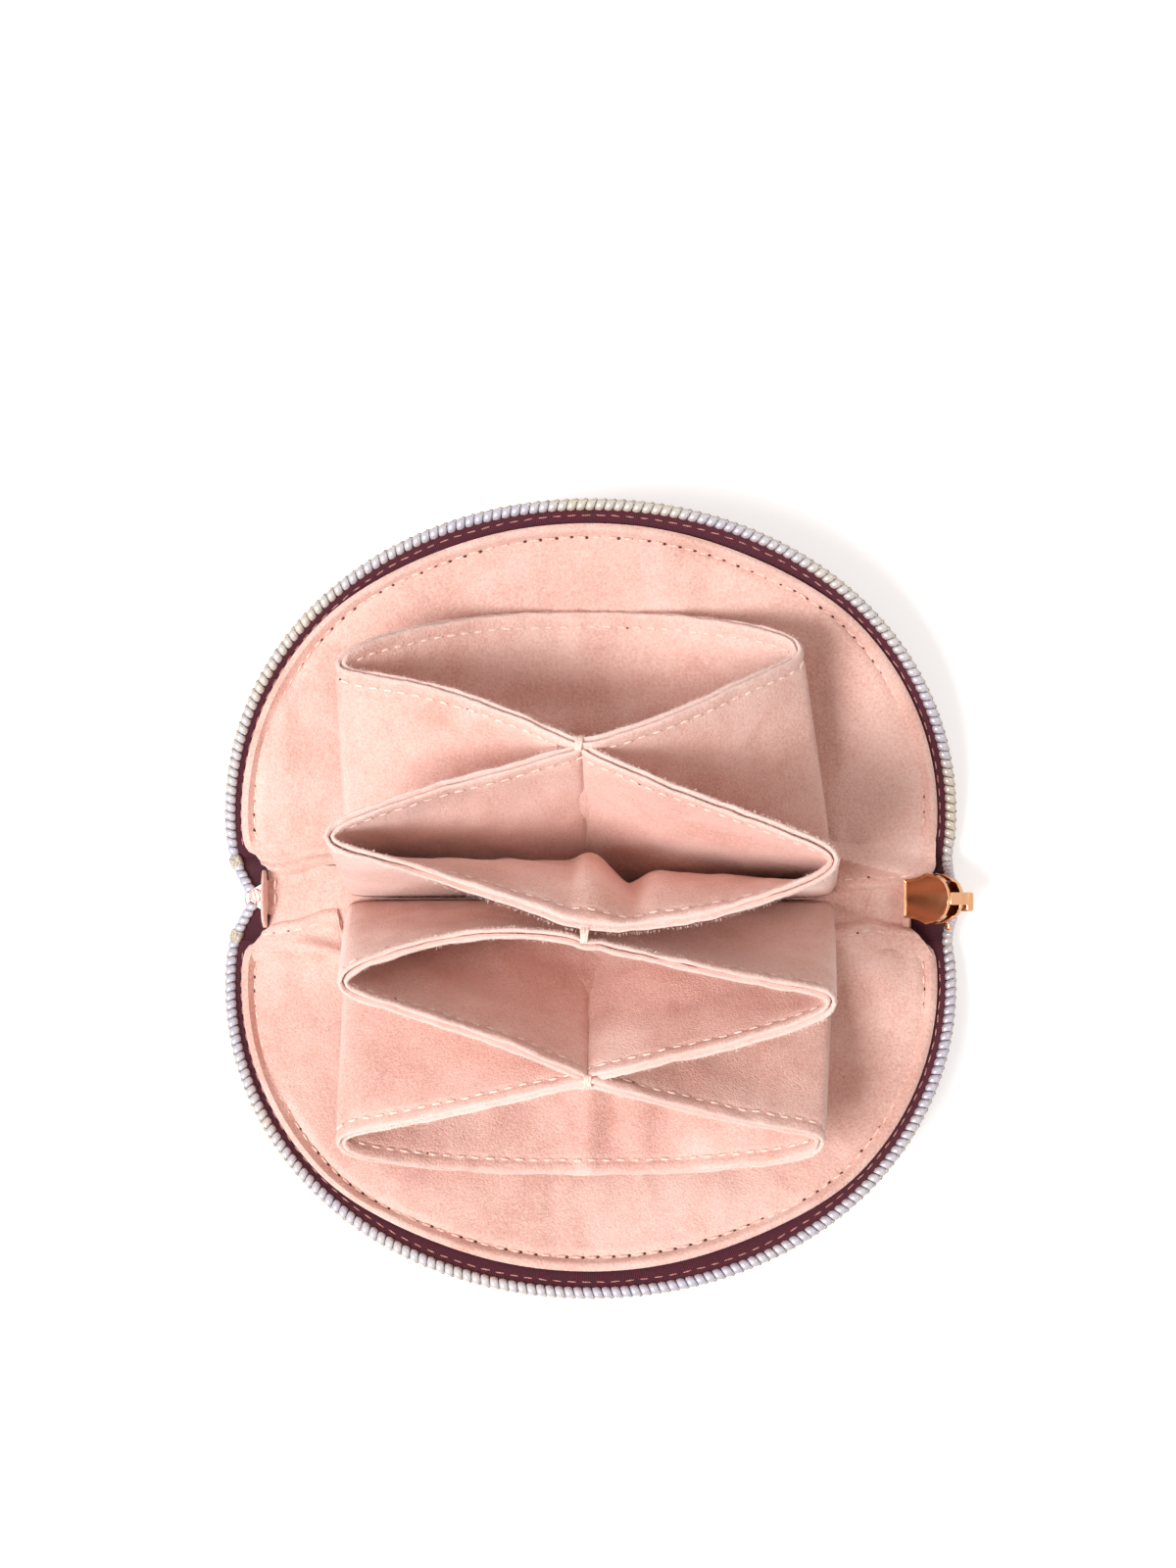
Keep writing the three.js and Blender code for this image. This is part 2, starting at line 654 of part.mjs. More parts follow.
// the pull: a cross bar under the bridge, a wide eye round it and a short tab below
function pullTab() {
  const outline = new THREE.Shape();
  const ring = PULL_RING_WIDTH / 2;
  const tab = PULL_TAB_WIDTH / 2;
  const shoulder = PULL_BAR / 2 + PULL_EYE_LENGTH;
  outline.moveTo(-ring * 0.85, -PULL_BAR / 2);
  outline.lineTo(ring * 0.85, -PULL_BAR / 2);
  outline.quadraticCurveTo(ring, -PULL_BAR / 2, ring, PULL_BAR / 4);
  outline.lineTo(ring * 0.95, shoulder - PULL_BAR / 4);
  outline.quadraticCurveTo(tab, shoulder + PULL_BAR, tab, shoulder + 2 * PULL_BAR);
  outline.lineTo(tab, PULL_LENGTH - tab * 0.6);
  outline.quadraticCurveTo(tab * 0.8, PULL_LENGTH, 0, PULL_LENGTH);
  outline.quadraticCurveTo(-tab * 0.8, PULL_LENGTH, -tab, PULL_LENGTH - tab * 0.6);
  outline.lineTo(-tab, shoulder + 2 * PULL_BAR);
  outline.quadraticCurveTo(-tab, shoulder + PULL_BAR, -ring * 0.95, shoulder - PULL_BAR / 4);
  outline.lineTo(-ring, PULL_BAR / 4);
  outline.quadraticCurveTo(-ring, -PULL_BAR / 2, -ring * 0.85, -PULL_BAR / 2);
  const eye = new THREE.Path();
  const eyeHalf = PULL_EYE_WIDTH / 2;
  eye.moveTo(-eyeHalf, PULL_BAR / 2);
  eye.lineTo(-eyeHalf * 0.9, shoulder);
  eye.lineTo(eyeHalf * 0.9, shoulder);
  eye.lineTo(eyeHalf, PULL_BAR / 2);
  eye.closePath();
  outline.holes.push(eye);
  const options = { depth: PULL_THICKNESS, bevelEnabled: false, curveSegments: 4 };
  const geometry = new THREE.ExtrudeGeometry(outline, options);
  geometry.translate(0, 0, -PULL_THICKNESS / 2);
  return geometry;
}

// slider frame: x from mouth to tail, y across the case, z out through the outer plate
function zipSlider() {
  const group = new THREE.Group();
  group.position.set(SLIDER_X, 0, SLIDER_Z);
  group.rotation.y = Math.PI - SLIDER_LEAN;
  const body = sliderBody();
  body.rotateZ(Math.PI);
  group.add(piece('zip_slider', body, gold));
  return group;
}

// direction in which the slider's outer plate faces
const OUTWARD = { x: Math.sin(SLIDER_LEAN), z: -Math.cos(SLIDER_LEAN) };

function zipPull() {
  const group = new THREE.Group();
  const x = SLIDER_X + OUTWARD.x * PULL_PIVOT;
  const z = SLIDER_Z + OUTWARD.z * PULL_PIVOT;
  group.position.set(x, 0, z);
  const tab = pullTab();
  tab.rotateZ(-Math.PI / 2);
  tab.rotateY(Math.PI / 2);
  group.add(piece('pull_tab', tab, gold));
  return group;
}

const jewelryCase = new THREE.Group();
jewelryCase.add(base());
jewelryCase.add(pockets());
jewelryCase.add(shell(1, 'rear'));
jewelryCase.add(shell(-1, 'front'));
jewelryCase.add(zipSlider());
jewelryCase.add(zipPull());

export default jewelryCase;
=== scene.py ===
import math
import random

import bpy
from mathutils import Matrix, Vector, noise


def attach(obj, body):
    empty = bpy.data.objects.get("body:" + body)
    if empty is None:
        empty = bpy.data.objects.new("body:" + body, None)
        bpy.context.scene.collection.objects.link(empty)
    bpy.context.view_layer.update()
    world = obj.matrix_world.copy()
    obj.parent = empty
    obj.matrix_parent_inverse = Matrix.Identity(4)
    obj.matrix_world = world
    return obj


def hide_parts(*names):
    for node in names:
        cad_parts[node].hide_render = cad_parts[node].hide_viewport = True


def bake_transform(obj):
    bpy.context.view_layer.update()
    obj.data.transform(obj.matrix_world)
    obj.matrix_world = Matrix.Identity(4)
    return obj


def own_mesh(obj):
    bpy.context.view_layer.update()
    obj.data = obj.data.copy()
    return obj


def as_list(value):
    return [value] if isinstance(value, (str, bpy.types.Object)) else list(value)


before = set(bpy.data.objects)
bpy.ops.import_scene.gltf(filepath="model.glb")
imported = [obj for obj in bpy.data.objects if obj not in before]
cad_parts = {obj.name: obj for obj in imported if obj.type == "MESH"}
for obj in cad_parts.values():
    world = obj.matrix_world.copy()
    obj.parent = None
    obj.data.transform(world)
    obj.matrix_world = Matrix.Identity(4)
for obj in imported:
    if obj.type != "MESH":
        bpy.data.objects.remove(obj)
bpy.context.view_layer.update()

mm = 0.001
up = Vector((0, 0, 1))
print("frame loaded")


# number and word of the two sides of the case and of its two ends
sides = ((1, "rear"), (-1, "front"))
hands = ((-1, "left"), (1, "right"))


# camera straight above the spine; the picture is 1200 by 1600 pixels
view = {
    "height": 400 * mm,
    "x": -0.5 * mm,
    "pixelsPerMm": 5.3,           # at the level of the zip edge
    "edgeLevel": 8 * mm,
    "spineRow": 917,              # pixel row where the spine's middle line shows
    "rows": 1600,                 # height of the picture in pixels
    "sensor": 36.0,               # sensor height; with the reach it sets the lens
}


def addCamera():
    data = bpy.data.cameras.new("camera")
    cameraObject = bpy.data.objects.new("camera", data)
    bpy.context.scene.collection.objects.link(cameraObject)
    reach = (view["height"] - view["edgeLevel"]) / mm
    data.sensor_fit = "VERTICAL"
    data.sensor_height = view["sensor"]
    data.lens = view["pixelsPerMm"] * reach * view["sensor"] / view["rows"]
    data.shift_y = (view["spineRow"] - view["rows"] / 2) / view["rows"]
    data.clip_start = 0.01
    cameraObject.location = (view["x"], 0, view["height"])
    bpy.context.scene.camera = cameraObject


addCamera()


def rgb(code):
    # an sRGB hex colour turned linear
    values = [int(code[i:i + 2], 16) / 255 for i in (0, 2, 4)]
    return [v / 12.92 if v <= 0.04045 else ((v + 0.055) / 1.055) ** 2.4 for v in values] + [1.0]


def linkTo(node, socket, source, output):
    node.id_data.links.new(source.outputs[output], node.inputs[socket])


def addNode(owner, kind, settings=None):
    # one shader node in a material or world: its own properties, its sockets' values,
    # and the (node, output) pairs that its sockets are linked from
    made = owner.node_tree.nodes.new(kind)
    for key, value in (settings or {}).items():
        if key == "stops":
            band = made.color_ramp.elements
            first, *others, last = value
            band[0].position, band[0].color = first
            band[1].position, band[1].color = last
            for position, colour in others:
                band.new(position).color = colour
        elif isinstance(value, tuple) and isinstance(value[0], bpy.types.Node):
            linkTo(made, key, *value)
        elif isinstance(key, str) and hasattr(made, key):
            setattr(made, key, value)
        else:
            made.inputs[key].default_value = value
    return made


def newMaterial(name):
    material = bpy.data.materials.new(name)
    material.use_nodes = True
    shader = material.node_tree.nodes["Principled BSDF"]
    place = addNode(material, "ShaderNodeTexCoord")
    return material, shader, place


# microfibre suede, brushed: the nap lies in patches, so its colour drifts and its gleam is soft;
# a pocket's cut rim is paler, and its own map runs from the outer foot over the rim to the inner foot
def suedeMaterial(name, pale, middle, deep, seed=0.0, rim=None):
    material, shader, place = newMaterial(name)
    patches = addNode(material, "ShaderNodeTexNoise", {
        "noise_dimensions": "4D", "Scale": 60.0, "Detail": 6.0, "Roughness": 0.62, "Distortion": 0.5,
        "W": seed, "Vector": (place, "Object")
    })
    nap = addNode(material, "ShaderNodeTexNoise", {
        "Scale": 1800.0, "Detail": 4.0, "Roughness": 0.8, "Vector": (place, "Object")
    })
    mixed = addNode(material, "ShaderNodeMath", {
        "operation": "MULTIPLY_ADD", 1: 1.2, 0: (nap, "Fac"), 2: (patches, "Fac")
    })
    spread = addNode(material, "ShaderNodeMapRange", {
        "From Min": 0.78, "From Max": 1.42, "Value": (mixed, "Value")
    })
    tone = addNode(material, "ShaderNodeValToRGB", {
        "stops": [(0.0, rgb(deep)), (0.5, rgb(middle)), (1.0, rgb(pale))], "Fac": (spread, "Result")
    })
    if rim:
        split = addNode(material, "ShaderNodeSeparateXYZ", {"Vector": (place, "UV")})
        none, weak, strong = (0, 0, 0, 1), (0.4, 0.4, 0.4, 1), (0.8, 0.8, 0.8, 1)
        band = addNode(material, "ShaderNodeValToRGB", {
            "stops": [(0.405, none), (0.43, weak), (0.5, strong), (0.57, weak), (0.595, none)],
            "Fac": (split, "Y")
        })
        # a dark hairline shows where the two layers meet
        cutEdge, hairline = rgb(rim), rgb("a3685a")
        layers = addNode(material, "ShaderNodeValToRGB", {
            "stops": [(0.48, cutEdge), (0.493, hairline), (0.507, hairline), (0.52, cutEdge)],
            "Fac": (split, "Y")
        })
        cut = addNode(material, "ShaderNodeMix", {
            "data_type": "RGBA", 0: (band, "Color"), 6: (tone, "Color"), 7: (layers, "Color")
        })
        linkTo(shader, "Base Color", cut, 2)
    else:
        linkTo(shader, "Base Color", tone, "Color")
    # the real fibres are finer; drawn at about 0.4 mm so that they show
    fibres = addNode(material, "ShaderNodeTexNoise", {
        "Scale": 2400.0, "Detail": 2.0, "Roughness": 0.6, "Vector": (place, "Object")
    })
    soft = addNode(material, "ShaderNodeBump", {
        "Strength": 0.6, "Distance": 0.0004, "Height": (fibres, "Fac")
    })
    rub = addNode(material, "ShaderNodeTexNoise", {
        "Scale": 170.0, "Detail": 4.0, "Vector": (place, "Object")
    })
    worn = addNode(material, "ShaderNodeBump", {
        "Strength": 0.2, "Distance": 0.0008, "Height": (rub, "Fac"), "Normal": (soft, "Normal")
    })
    linkTo(shader, "Normal", worn, "Normal")
    shader.inputs["Roughness"].default_value = 0.95
    shader.inputs["Specular IOR Level"].default_value = 0.15
    shader.inputs["Sheen Weight"].default_value = 0.6
    shader.inputs["Sheen Roughness"].default_value = 0.5
    shader.inputs["Sheen Tint"].default_value = rgb("fff0ea")
    return material


# spun polyester thread: a soft low gloss with a fine twist
def threadMaterial(name, colour, shade):
    material, shader, place = newMaterial(name)
    twist = addNode(material, "ShaderNodeTexNoise", {
        "Scale": 3000.0, "Detail": 1.0, "Vector": (place, "Object")
    })
    tone = addNode(material, "ShaderNodeValToRGB", {
        "stops": [(0.35, rgb(shade)), (0.65, rgb(colour))], "Fac": (twist, "Fac")
    })
    linkTo(shader, "Base Color", tone, "Color")
    shader.inputs["Roughness"].default_value = 0.7
    return material


# split leather, embossed and waxed: a fine pebble grain with a satin sheen
def leatherMaterial():
    material, shader, place = newMaterial("embossed_leather")
    pebbles = addNode(material, "ShaderNodeTexVoronoi", {
        "feature": "DISTANCE_TO_EDGE", "Scale": 900.0, "Randomness": 1.0, "Vector": (place, "Object")
    })
    soft = addNode(material, "ShaderNodeValToRGB", {
        "stops": [(0.0, (0, 0, 0, 1)), (0.22, (1, 1, 1, 1))], "Fac": (pebbles, "Distance")
    })
    drift = addNode(material, "ShaderNodeTexNoise", {
        "Scale": 60.0, "Detail": 4.0, "Vector": (place, "Object")
    })
    tone = addNode(material, "ShaderNodeValToRGB", {
        "stops": [(0.3, rgb("4a0f20")), (0.7, rgb("6b1c33"))], "Fac": (drift, "Fac")
    })
    shade = addNode(material, "ShaderNodeMix", {
        "data_type": "RGBA", "blend_type": "MULTIPLY", 0: 0.35, 6: (tone, "Color"), 7: (soft, "Color")
    })
    linkTo(shader, "Base Color", shade, 2)
    grain = addNode(material, "ShaderNodeBump", {
        "Strength": 0.5, "Distance": 0.0003, "Height": (soft, "Color")
    })
    linkTo(shader, "Normal", grain, "Normal")
    rough = addNode(material, "ShaderNodeMapRange", {
        "To Min": 0.4, "To Max": 0.58, "Value": (drift, "Fac")
    })
    linkTo(shader, "Roughness", rough, "Result")
    return material


# woven polyester zip tape: ribs across it, read from the piece's own map
def tapeMaterial():
    material, shader, place = newMaterial("woven_zip_tape")
    # 198 along the tape lays the ribs about 0.4 mm apart
    laid = addNode(material, "ShaderNodeMapping", {"Scale": (198.0, 1.0, 1.0), "Vector": (place, "UV")})
    ribs = addNode(material, "ShaderNodeTexWave", {
        "bands_direction": "X", "wave_type": "BANDS", "Scale": 1.0, "Distortion": 0.6, "Detail": 1.0,
        "Vector": (laid, "Vector")
    })
    fuzz = addNode(material, "ShaderNodeTexNoise", {
        "Scale": 1500.0, "Detail": 2.0, "Vector": (place, "Object")
    })
    mixed = addNode(material, "ShaderNodeMath", {
        "operation": "MULTIPLY_ADD", 1: 0.5, 0: (fuzz, "Fac"), 2: (ribs, "Fac")
    })
    tone = addNode(material, "ShaderNodeValToRGB", {
        "stops": [(0.3, rgb("1b030a")), (1.0, rgb("661831"))], "Fac": (mixed, "Value")
    })
    linkTo(shader, "Base Color", tone, "Color")
    bump = addNode(material, "ShaderNodeBump", {
        "Strength": 0.6, "Distance": 0.0002, "Height": (mixed, "Value")
    })
    linkTo(shader, "Normal", bump, "Normal")
    shader.inputs["Roughness"].default_value = 0.8
    shader.inputs["Sheen Weight"].default_value = 0.1
    return material


# metallised nylon monofilament, moulded: pale silver with a pearly gloss and warm glints
def coilMaterial():
    material, shader, place = newMaterial("metallised_nylon")
    drift = addNode(material, "ShaderNodeTexNoise", {
        "Scale": 34.0, "Detail": 2.0, "Vector": (place, "Object")
    })
    tone = addNode(material, "ShaderNodeValToRGB", {
        "stops": [(0.36, rgb("d6cdb9")), (0.47, rgb("cecacd")), (0.6, rgb("c6c3d0"))],
        "Fac": (drift, "Fac")
    })
    linkTo(shader, "Base Color", tone, "Color")
    shader.inputs["Metallic"].default_value = 0.3
    shader.inputs["Roughness"].default_value = 0.3
    shader.inputs["Coat Weight"].default_value = 0.15
    return material


# die-cast zinc with rose gold plate, polished: a warm mirror with faint handling marks
def goldMaterial():
    material, shader, place = newMaterial("rose_gold_plate")
    marks = addNode(material, "ShaderNodeTexNoise", {
        "Scale": 420.0, "Detail": 4.0, "Vector": (place, "Object")
    })
    rough = addNode(material, "ShaderNodeMapRange", {
        "To Min": 0.1, "To Max": 0.22, "Value": (marks, "Fac")
    })
    linkTo(shader, "Roughness", rough, "Result")
    shader.inputs["Base Color"].default_value = rgb("e9b184")
    shader.inputs["Metallic"].default_value = 1.0
    return material


# pressed grey board, inside and unseen
def boardMaterial():
    material, shader, place = newMaterial("pressed_board")
    fibre = addNode(material, "ShaderNodeTexNoise", {
        "Scale": 500.0, "Detail": 4.0, "Vector": (place, "Object")
    })
    tone = addNode(material, "ShaderNodeValToRGB", {
        "stops": [(0.3, rgb("7d7871")), (0.7, rgb("9c968d"))], "Fac": (fibre, "Fac")
    })
    linkTo(shader, "Base Color", tone, "Color")
    shader.inputs["Roughness"].default_value = 0.9
    return material


look = {
    "suede": suedeMaterial("brushed_suede", "fbddd4", "eec4b8", "d59f90", 0.0, "fbe2da"),
    "fibre": suedeMaterial("cut_suede_fibres", "fdeae3", "f7dbd1", "e8c0b3"),
    "lining": suedeMaterial("brushed_suede_lining", "fbddd4", "eec5b9", "d6a091", 3.0),
    "thread": threadMaterial("spun_polyester_thread", "fff0e6", "f0cbbb"),
    "liningThread": threadMaterial("suede_coloured_thread", "ffe6da", "e8b9a8"),
    "tapeThread": threadMaterial("pale_tape_thread", "d39d93", "a86a60"),
    "leather": leatherMaterial(),
    "leatherThread": threadMaterial("burgundy_thread", "74253c", "541426"),
    "tape": tapeMaterial(),
    "coil": coilMaterial(),
    "bend": threadMaterial("metallised_coil_bends", "d8cdae", "8f8790"),
    "core": threadMaterial("pale_filler_cord", "8f8692", "6c6270"),
    "gold": goldMaterial(),
    "board": boardMaterial(),
    "hole": threadMaterial("needle_hole_shadow", "5a2c22", "3c1a14"),
}
print("materials made")


def freshSelection(piece=None):
    if bpy.context.object and bpy.context.object.mode != "OBJECT":
        bpy.ops.object.mode_set(mode="OBJECT")
    bpy.ops.object.select_all(action="DESELECT")
    if piece:
        piece.select_set(True)
        bpy.context.view_layer.objects.active = piece


def editAll(piece, *steps):
    # runs edit-mode operators on the whole mesh
    freshSelection(piece)
    bpy.ops.object.mode_set(mode="EDIT")
    bpy.ops.mesh.select_all(action="SELECT")
    for operator, settings in steps:
        operator(**settings)
    bpy.ops.object.mode_set(mode="OBJECT")


def gridPiece(name, across, along, place):
    # a grid primitive whose points are laid on a surface; doubled points are merged
    freshSelection()
    bpy.ops.mesh.primitive_grid_add(x_subdivisions=across, y_subdivisions=along, size=1)
    piece = bpy.context.object
    piece.name = piece.data.name = name
    for point in piece.data.vertices:
        point.co = place(point.co.x + 0.5, point.co.y + 0.5)
    editAll(piece, (bpy.ops.mesh.remove_doubles, {"threshold": 0.00001}))
    return piece


def applyAll(piece):
    freshSelection(piece)
    for modifier in list(piece.modifiers):
        bpy.ops.object.modifier_apply(modifier=modifier.name)


def smooth(piece, degrees=None):
    # soft shading; where degrees are given, edges sharper than that stay crisp
    freshSelection(piece)
    if degrees:
        bpy.ops.object.shade_smooth_by_angle(angle=math.radians(degrees))
    else:
        bpy.ops.object.shade_smooth()


def addBevel(piece, width, segments, degrees=30):
    rounded = piece.modifiers.new("rounded", "BEVEL")
    rounded.width = width
    rounded.segments = segments
    rounded.angle_limit = math.radians(degrees)


def faceOutwards(piece):
    editAll(piece, (bpy.ops.mesh.normals_make_consistent, {"inside": False}))


def closeEdges(piece, closer):
    # bridges or fills the open edges with an edit-mode operator
    freshSelection(piece)
    bpy.ops.object.mode_set(mode="EDIT")
    bpy.ops.mesh.select_all(action="DESELECT")
    bpy.ops.mesh.select_non_manifold()
    closer()
    bpy.ops.object.mode_set(mode="OBJECT")
    faceOutwards(piece)


def newCube(name):
    freshSelection()
    bpy.ops.mesh.primitive_cube_add(size=1)
    cube = bpy.context.object
    cube.name = cube.data.name = name
    return cube


def sheetPiece(name, across, along, place, thickness, facing=1):
    # a grid given a thickness on its far side; its seen face looks up, or down where facing is -1
    piece = gridPiece(name, across, along, place)
    lean = sum(face.normal.z * face.area for face in piece.data.polygons)
    if lean * facing < 0:
        editAll(piece, (bpy.ops.mesh.flip_normals, {}))
    thick = piece.modifiers.new("thick", "SOLIDIFY")
    thick.thickness = thickness * mm
    thick.offset = -1
    applyAll(piece)
    smooth(piece, 50)
    return piece


def finishPiece(piece, body, slot, material, *nodes):
    # body is one body's name, or (first body, second body, start, end) of a blend between two;
    # such a piece is only baked where it stands, neither attached nor blended
    piece.data.materials.clear()
    piece.data.materials.append(material)
    if isinstance(body, str):
        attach(piece, body)
    else:
        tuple(body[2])
        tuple(body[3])
        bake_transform(piece)
    if nodes:
        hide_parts(*nodes)
    return piece


def meshPiece(name, points, faces):
    data = bpy.data.meshes.new(name)
    data.from_pydata(points, [], faces)
    data.update()
    piece = bpy.data.objects.new(name, data)
    bpy.context.scene.collection.objects.link(piece)
    return piece


def template(adder, shape=None, **settings):
    # the points and faces of one small primitive, shaped once and then copied
    freshSelection()
    adder(**settings)
    made = bpy.context.object
    points = [point.co.copy() for point in made.data.vertices]
    # sorted, because a new sphere lists its faces in another order on each run
    faces = sorted(list(face.vertices) for face in made.data.polygons)
    bpy.data.objects.remove(made)
    return [shape(point) for point in points] if shape else points, faces


def copyAlong(name, pattern, spots):
    # copies of a shape, each laid in its own frame (place, along, across, up) in mm
    points, faces = pattern
    allPoints = []
    allFaces = []
    for place, along, across, above in spots:
        start = len(allPoints)
        for point in points:
            allPoints.append((place + along * point.x + across * point.y + above * point.z) * mm)
        for face in faces:
            allFaces.append([start + i for i in face])
    piece = meshPiece(name, allPoints, allFaces)
    smooth(piece)
    return piece


def threadLoops(name, radius, resolution, loops):
    # closed loops of round thread, each given as a list of points in mm
    curve = bpy.data.curves.new(name, "CURVE")
    curve.dimensions = "3D"
    curve.bevel_depth = radius * mm
    curve.bevel_resolution = resolution
    for loop in loops:
        spline = curve.splines.new("POLY")
        spline.points.add(len(loop) - 1)
        spline.use_cyclic_u = True
        for point, at in zip(spline.points, loop):
            point.co = (*(at * mm), 1)
    piece = bpy.data.objects.new(name, curve)
    bpy.context.scene.collection.objects.link(piece)
    freshSelection(piece)
    bpy.ops.object.convert(target="MESH")
    piece = bpy.context.object
    smooth(piece)
    return piece


def roundTurn(steps):
    return [2 * math.pi * i / steps for i in range(steps)]


def mix(a, b, t):
    return a + (b - a) * t


def clamp(t):
    return min(1.0, max(0.0, t))


def ease(t):
    t = clamp(t)
    return t * t * (3 - 2 * t)


def bump(t):
    return math.exp(-t * t)


def wave(u, v, size, seed=0.0):
    return noise.noise(Vector((u / size, v / size, seed)))


def fromStations(stations, x):
    # a smooth run through a few (x, value) stations
    if x <= stations[0][0]:
        return stations[0][1]
    for (x0, a), (x1, b) in zip(stations, stations[1:]):
        if x <= x1:
            return mix(a, b, ease((x - x0) / (x1 - x0)))
    return stations[-1][1]


def distances(points):
    # how far along a run of points each one lies
    lengths = [0.0]
    for a, b in zip(points, points[1:]):
        lengths.append(lengths[-1] + (b - a).length)
    return lengths


def stretches(lengths, targets):
    # for each rising distance, the stretch of the run that it falls on and its share of that stretch
    j = 0
    for target in targets:
        while j < len(lengths) - 2 and lengths[j + 1] < target:
            j += 1
        span = lengths[j + 1] - lengths[j]
        yield j, clamp((target - lengths[j]) / span) if span else 0.0


stitchShape = template(bpy.ops.mesh.primitive_uv_sphere_add, segments=8, ring_count=6, radius=1)
dotShape = template(bpy.ops.mesh.primitive_uv_sphere_add, segments=6, ring_count=4, radius=1)


def addStitches(name, run, settings, body, slot, material, holes=0.0):
    # threads laid in a row along a run of (place, outward) points, in mm; holes is the share of them
    # that gets a flat dark dot at one end, painted shade standing for its needle hole
    rng = random.Random(len(name) * 17 + len(run))
    lengths = distances([place for place, _ in run])
    count = int(lengths[-1] / settings["pitch"])
    rise = settings["rise"]
    spots = []
    dark = []
    for j, t in stretches(lengths, [(k + 0.5) * settings["pitch"] for k in range(count)]):
        place = run[j][0].lerp(run[j + 1][0], t)
        out = run[j][1].lerp(run[j + 1][1], t).normalized()
        along = (run[j + 1][0] - run[j][0]).normalized()
        across = out.cross(along).normalized()
        along = (along + across * rng.uniform(-0.09, 0.09)).normalized()
        half = settings["length"] / 2 * rng.uniform(0.9, 1.08)
        thick = settings["width"] / 2
        spots.append((place + out * rise, along * half, across * thick, out * thick * 0.75))
        # the dark dot is painted shade, laid where the needle hole would show dark
        if holes and rng.random() < holes:
            end = place + along * half * 1.15 + out * rise * 0.8
            dark.append((end, along * settings["hole"], across * settings["hole"] * 0.75, out * 0.07))
    made = [finishPiece(copyAlong(name, stitchShape, spots), body, slot, material)]
    if dark:
        made.append(finishPiece(copyAlong(name + "_holes", dotShape, dark), body, slot, look["hole"]))
    return made


# how a side of the case lies: its rim is a half-moon on a tilted plane, sizes in mm
side = {
    "halfWidth": 69.7,       # half the width at the widest line
    "rise": 62.0,            # from the widest line to the top of the half-moon
    "curl": 56.0,            # how fast the outline comes in below that line
    "widest": 6.5,           # widest line above the hinge
    "fullness": 2.05,        # how full the shoulders are; 2 is an ellipse
    "tilt": 17.0,            # degrees that the open side leans up
    "hingeY": 7.0,
    "hingeZ": 4.6,
    "bowl": 6.5,             # depth of the padded dish
    "bowlStart": 30.0,
    "zipEnd": 1.8,           # the sewn run of the zip starts this far above the hinge
}


def bowlDepth(u, v):
    down = side["rise"] if v > side["widest"] else side["curl"]
    out = min(1.0, math.hypot(u / side["halfWidth"], (v - side["widest"]) / down))
    lift = 1 - clamp(v / side["bowlStart"])
    return side["bowl"] * (1 - out ** 3) * (1 - lift ** 2)


def onSide(face, u, v, w):
    # a point of one side: u across, v up from the hinge, w above the lining; face is 1 rear, -1 front
    tilt = math.radians(side["tilt"])
    drop = w - bowlDepth(u, v)
    y = side["hingeY"] + v * math.cos(tilt) - drop * math.sin(tilt)
    z = side["hingeZ"] + v * math.sin(tilt) + drop * math.cos(tilt)
    return Vector((u, face * y, z))


def sideNormal(face):
    tilt = math.radians(side["tilt"])
    return Vector((0, -face * math.sin(tilt), math.cos(tilt)))


def edgePoint(angle, inset):
    # a point of the rim's outline, moved in by an inset that may change with the angle
    upper = math.sin(angle) > 0
    down = side["rise"] if upper else side["curl"]
    power = side["fullness"] if upper else 2
    full = (abs(math.cos(angle)) ** power + abs(math.sin(angle)) ** power) ** (-1 / power)
    u = side["halfWidth"] * math.cos(angle) * full
    v = side["widest"] + down * math.sin(angle) * full
    out = Vector((math.cos(angle) / side["halfWidth"], math.sin(angle) / down)).normalized()
    return Vector((u, v)) - out * (inset(angle) if callable(inset) else inset)


def evenly(points, count):
    # the same run of points, laid out again at even steps
    lengths = distances(points)
    targets = [lengths[-1] * i / (count - 1) for i in range(count)]
    return [points[j].lerp(points[j + 1], t) for j, t in stretches(lengths, targets)]


def edgeRun(inset, low, count):
    # the outline above a height, from the left end over the top to the right end
    points = [edgePoint(math.radians(235 - 290 * i / 720), inset) for i in range(721)]
    return evenly([point for point in points if point.y >= low], count)


def panelOutline(inset, low, corner, count):
    # closed half-moon whose corners are rounded by averaging neighbours again and again
    fine = 500
    arc = edgeRun(inset, low, 400)
    base = [arc[-1].lerp(arc[0], i / 100) for i in range(1, 100)]
    loop = evenly(arc + base + [arc[0]], fine + 1)[:-1]
    for _ in range(int(corner * corner)):
        loop = [(loop[i - 1] + loop[i] * 2 + loop[(i + 1) % fine]) / 4 for i in range(fine)]
    return evenly(loop + [loop[0]], count + 1)[:-1]


# a panel is laid in rings from its outline to one point;
# slant turns the way along such a line into the distance from the edge
panel = {"middle": Vector((0, 30)), "slant": 0.93}


def panelPoint(outline, s, inward):
    # the point at a share s round the outline and a share inward, and how far it lies from the edge
    spot = outline[int(round(s * len(outline))) % len(outline)]
    point = panel["middle"].lerp(spot, 1 - inward)
    return point.x, point.y, (spot - point).length * panel["slant"]


def seamRun(face, outline, inset, level, low, facing):
    # (place, outward) along a panel's seam, where it lies above low; a wide gap falls between its ends
    run = []
    for spot in outline + outline[:1]:
        x, y = spot + (panel["middle"] - spot).normalized() * inset / panel["slant"]
        if y > low:
            run.append((onSide(face, x, y, level(x, y, inset)), sideNormal(face) * facing))
    gaps = [(b - a).length for (a, _), (b, _) in zip(run, run[1:])]
    widest = gaps.index(max(gaps))
    return run[widest + 1:] + run[:widest + 1] if gaps[widest] > 10 else run


def hingeBlend(face, word, near, far, level):
    # a soft piece would ride on the base as far out as near, and on its side from far on;
    # here such a piece is only baked in place
    return "base", f"{word}_shell", (0, face * near * mm, level * mm), (0, face * far * mm, level * mm)


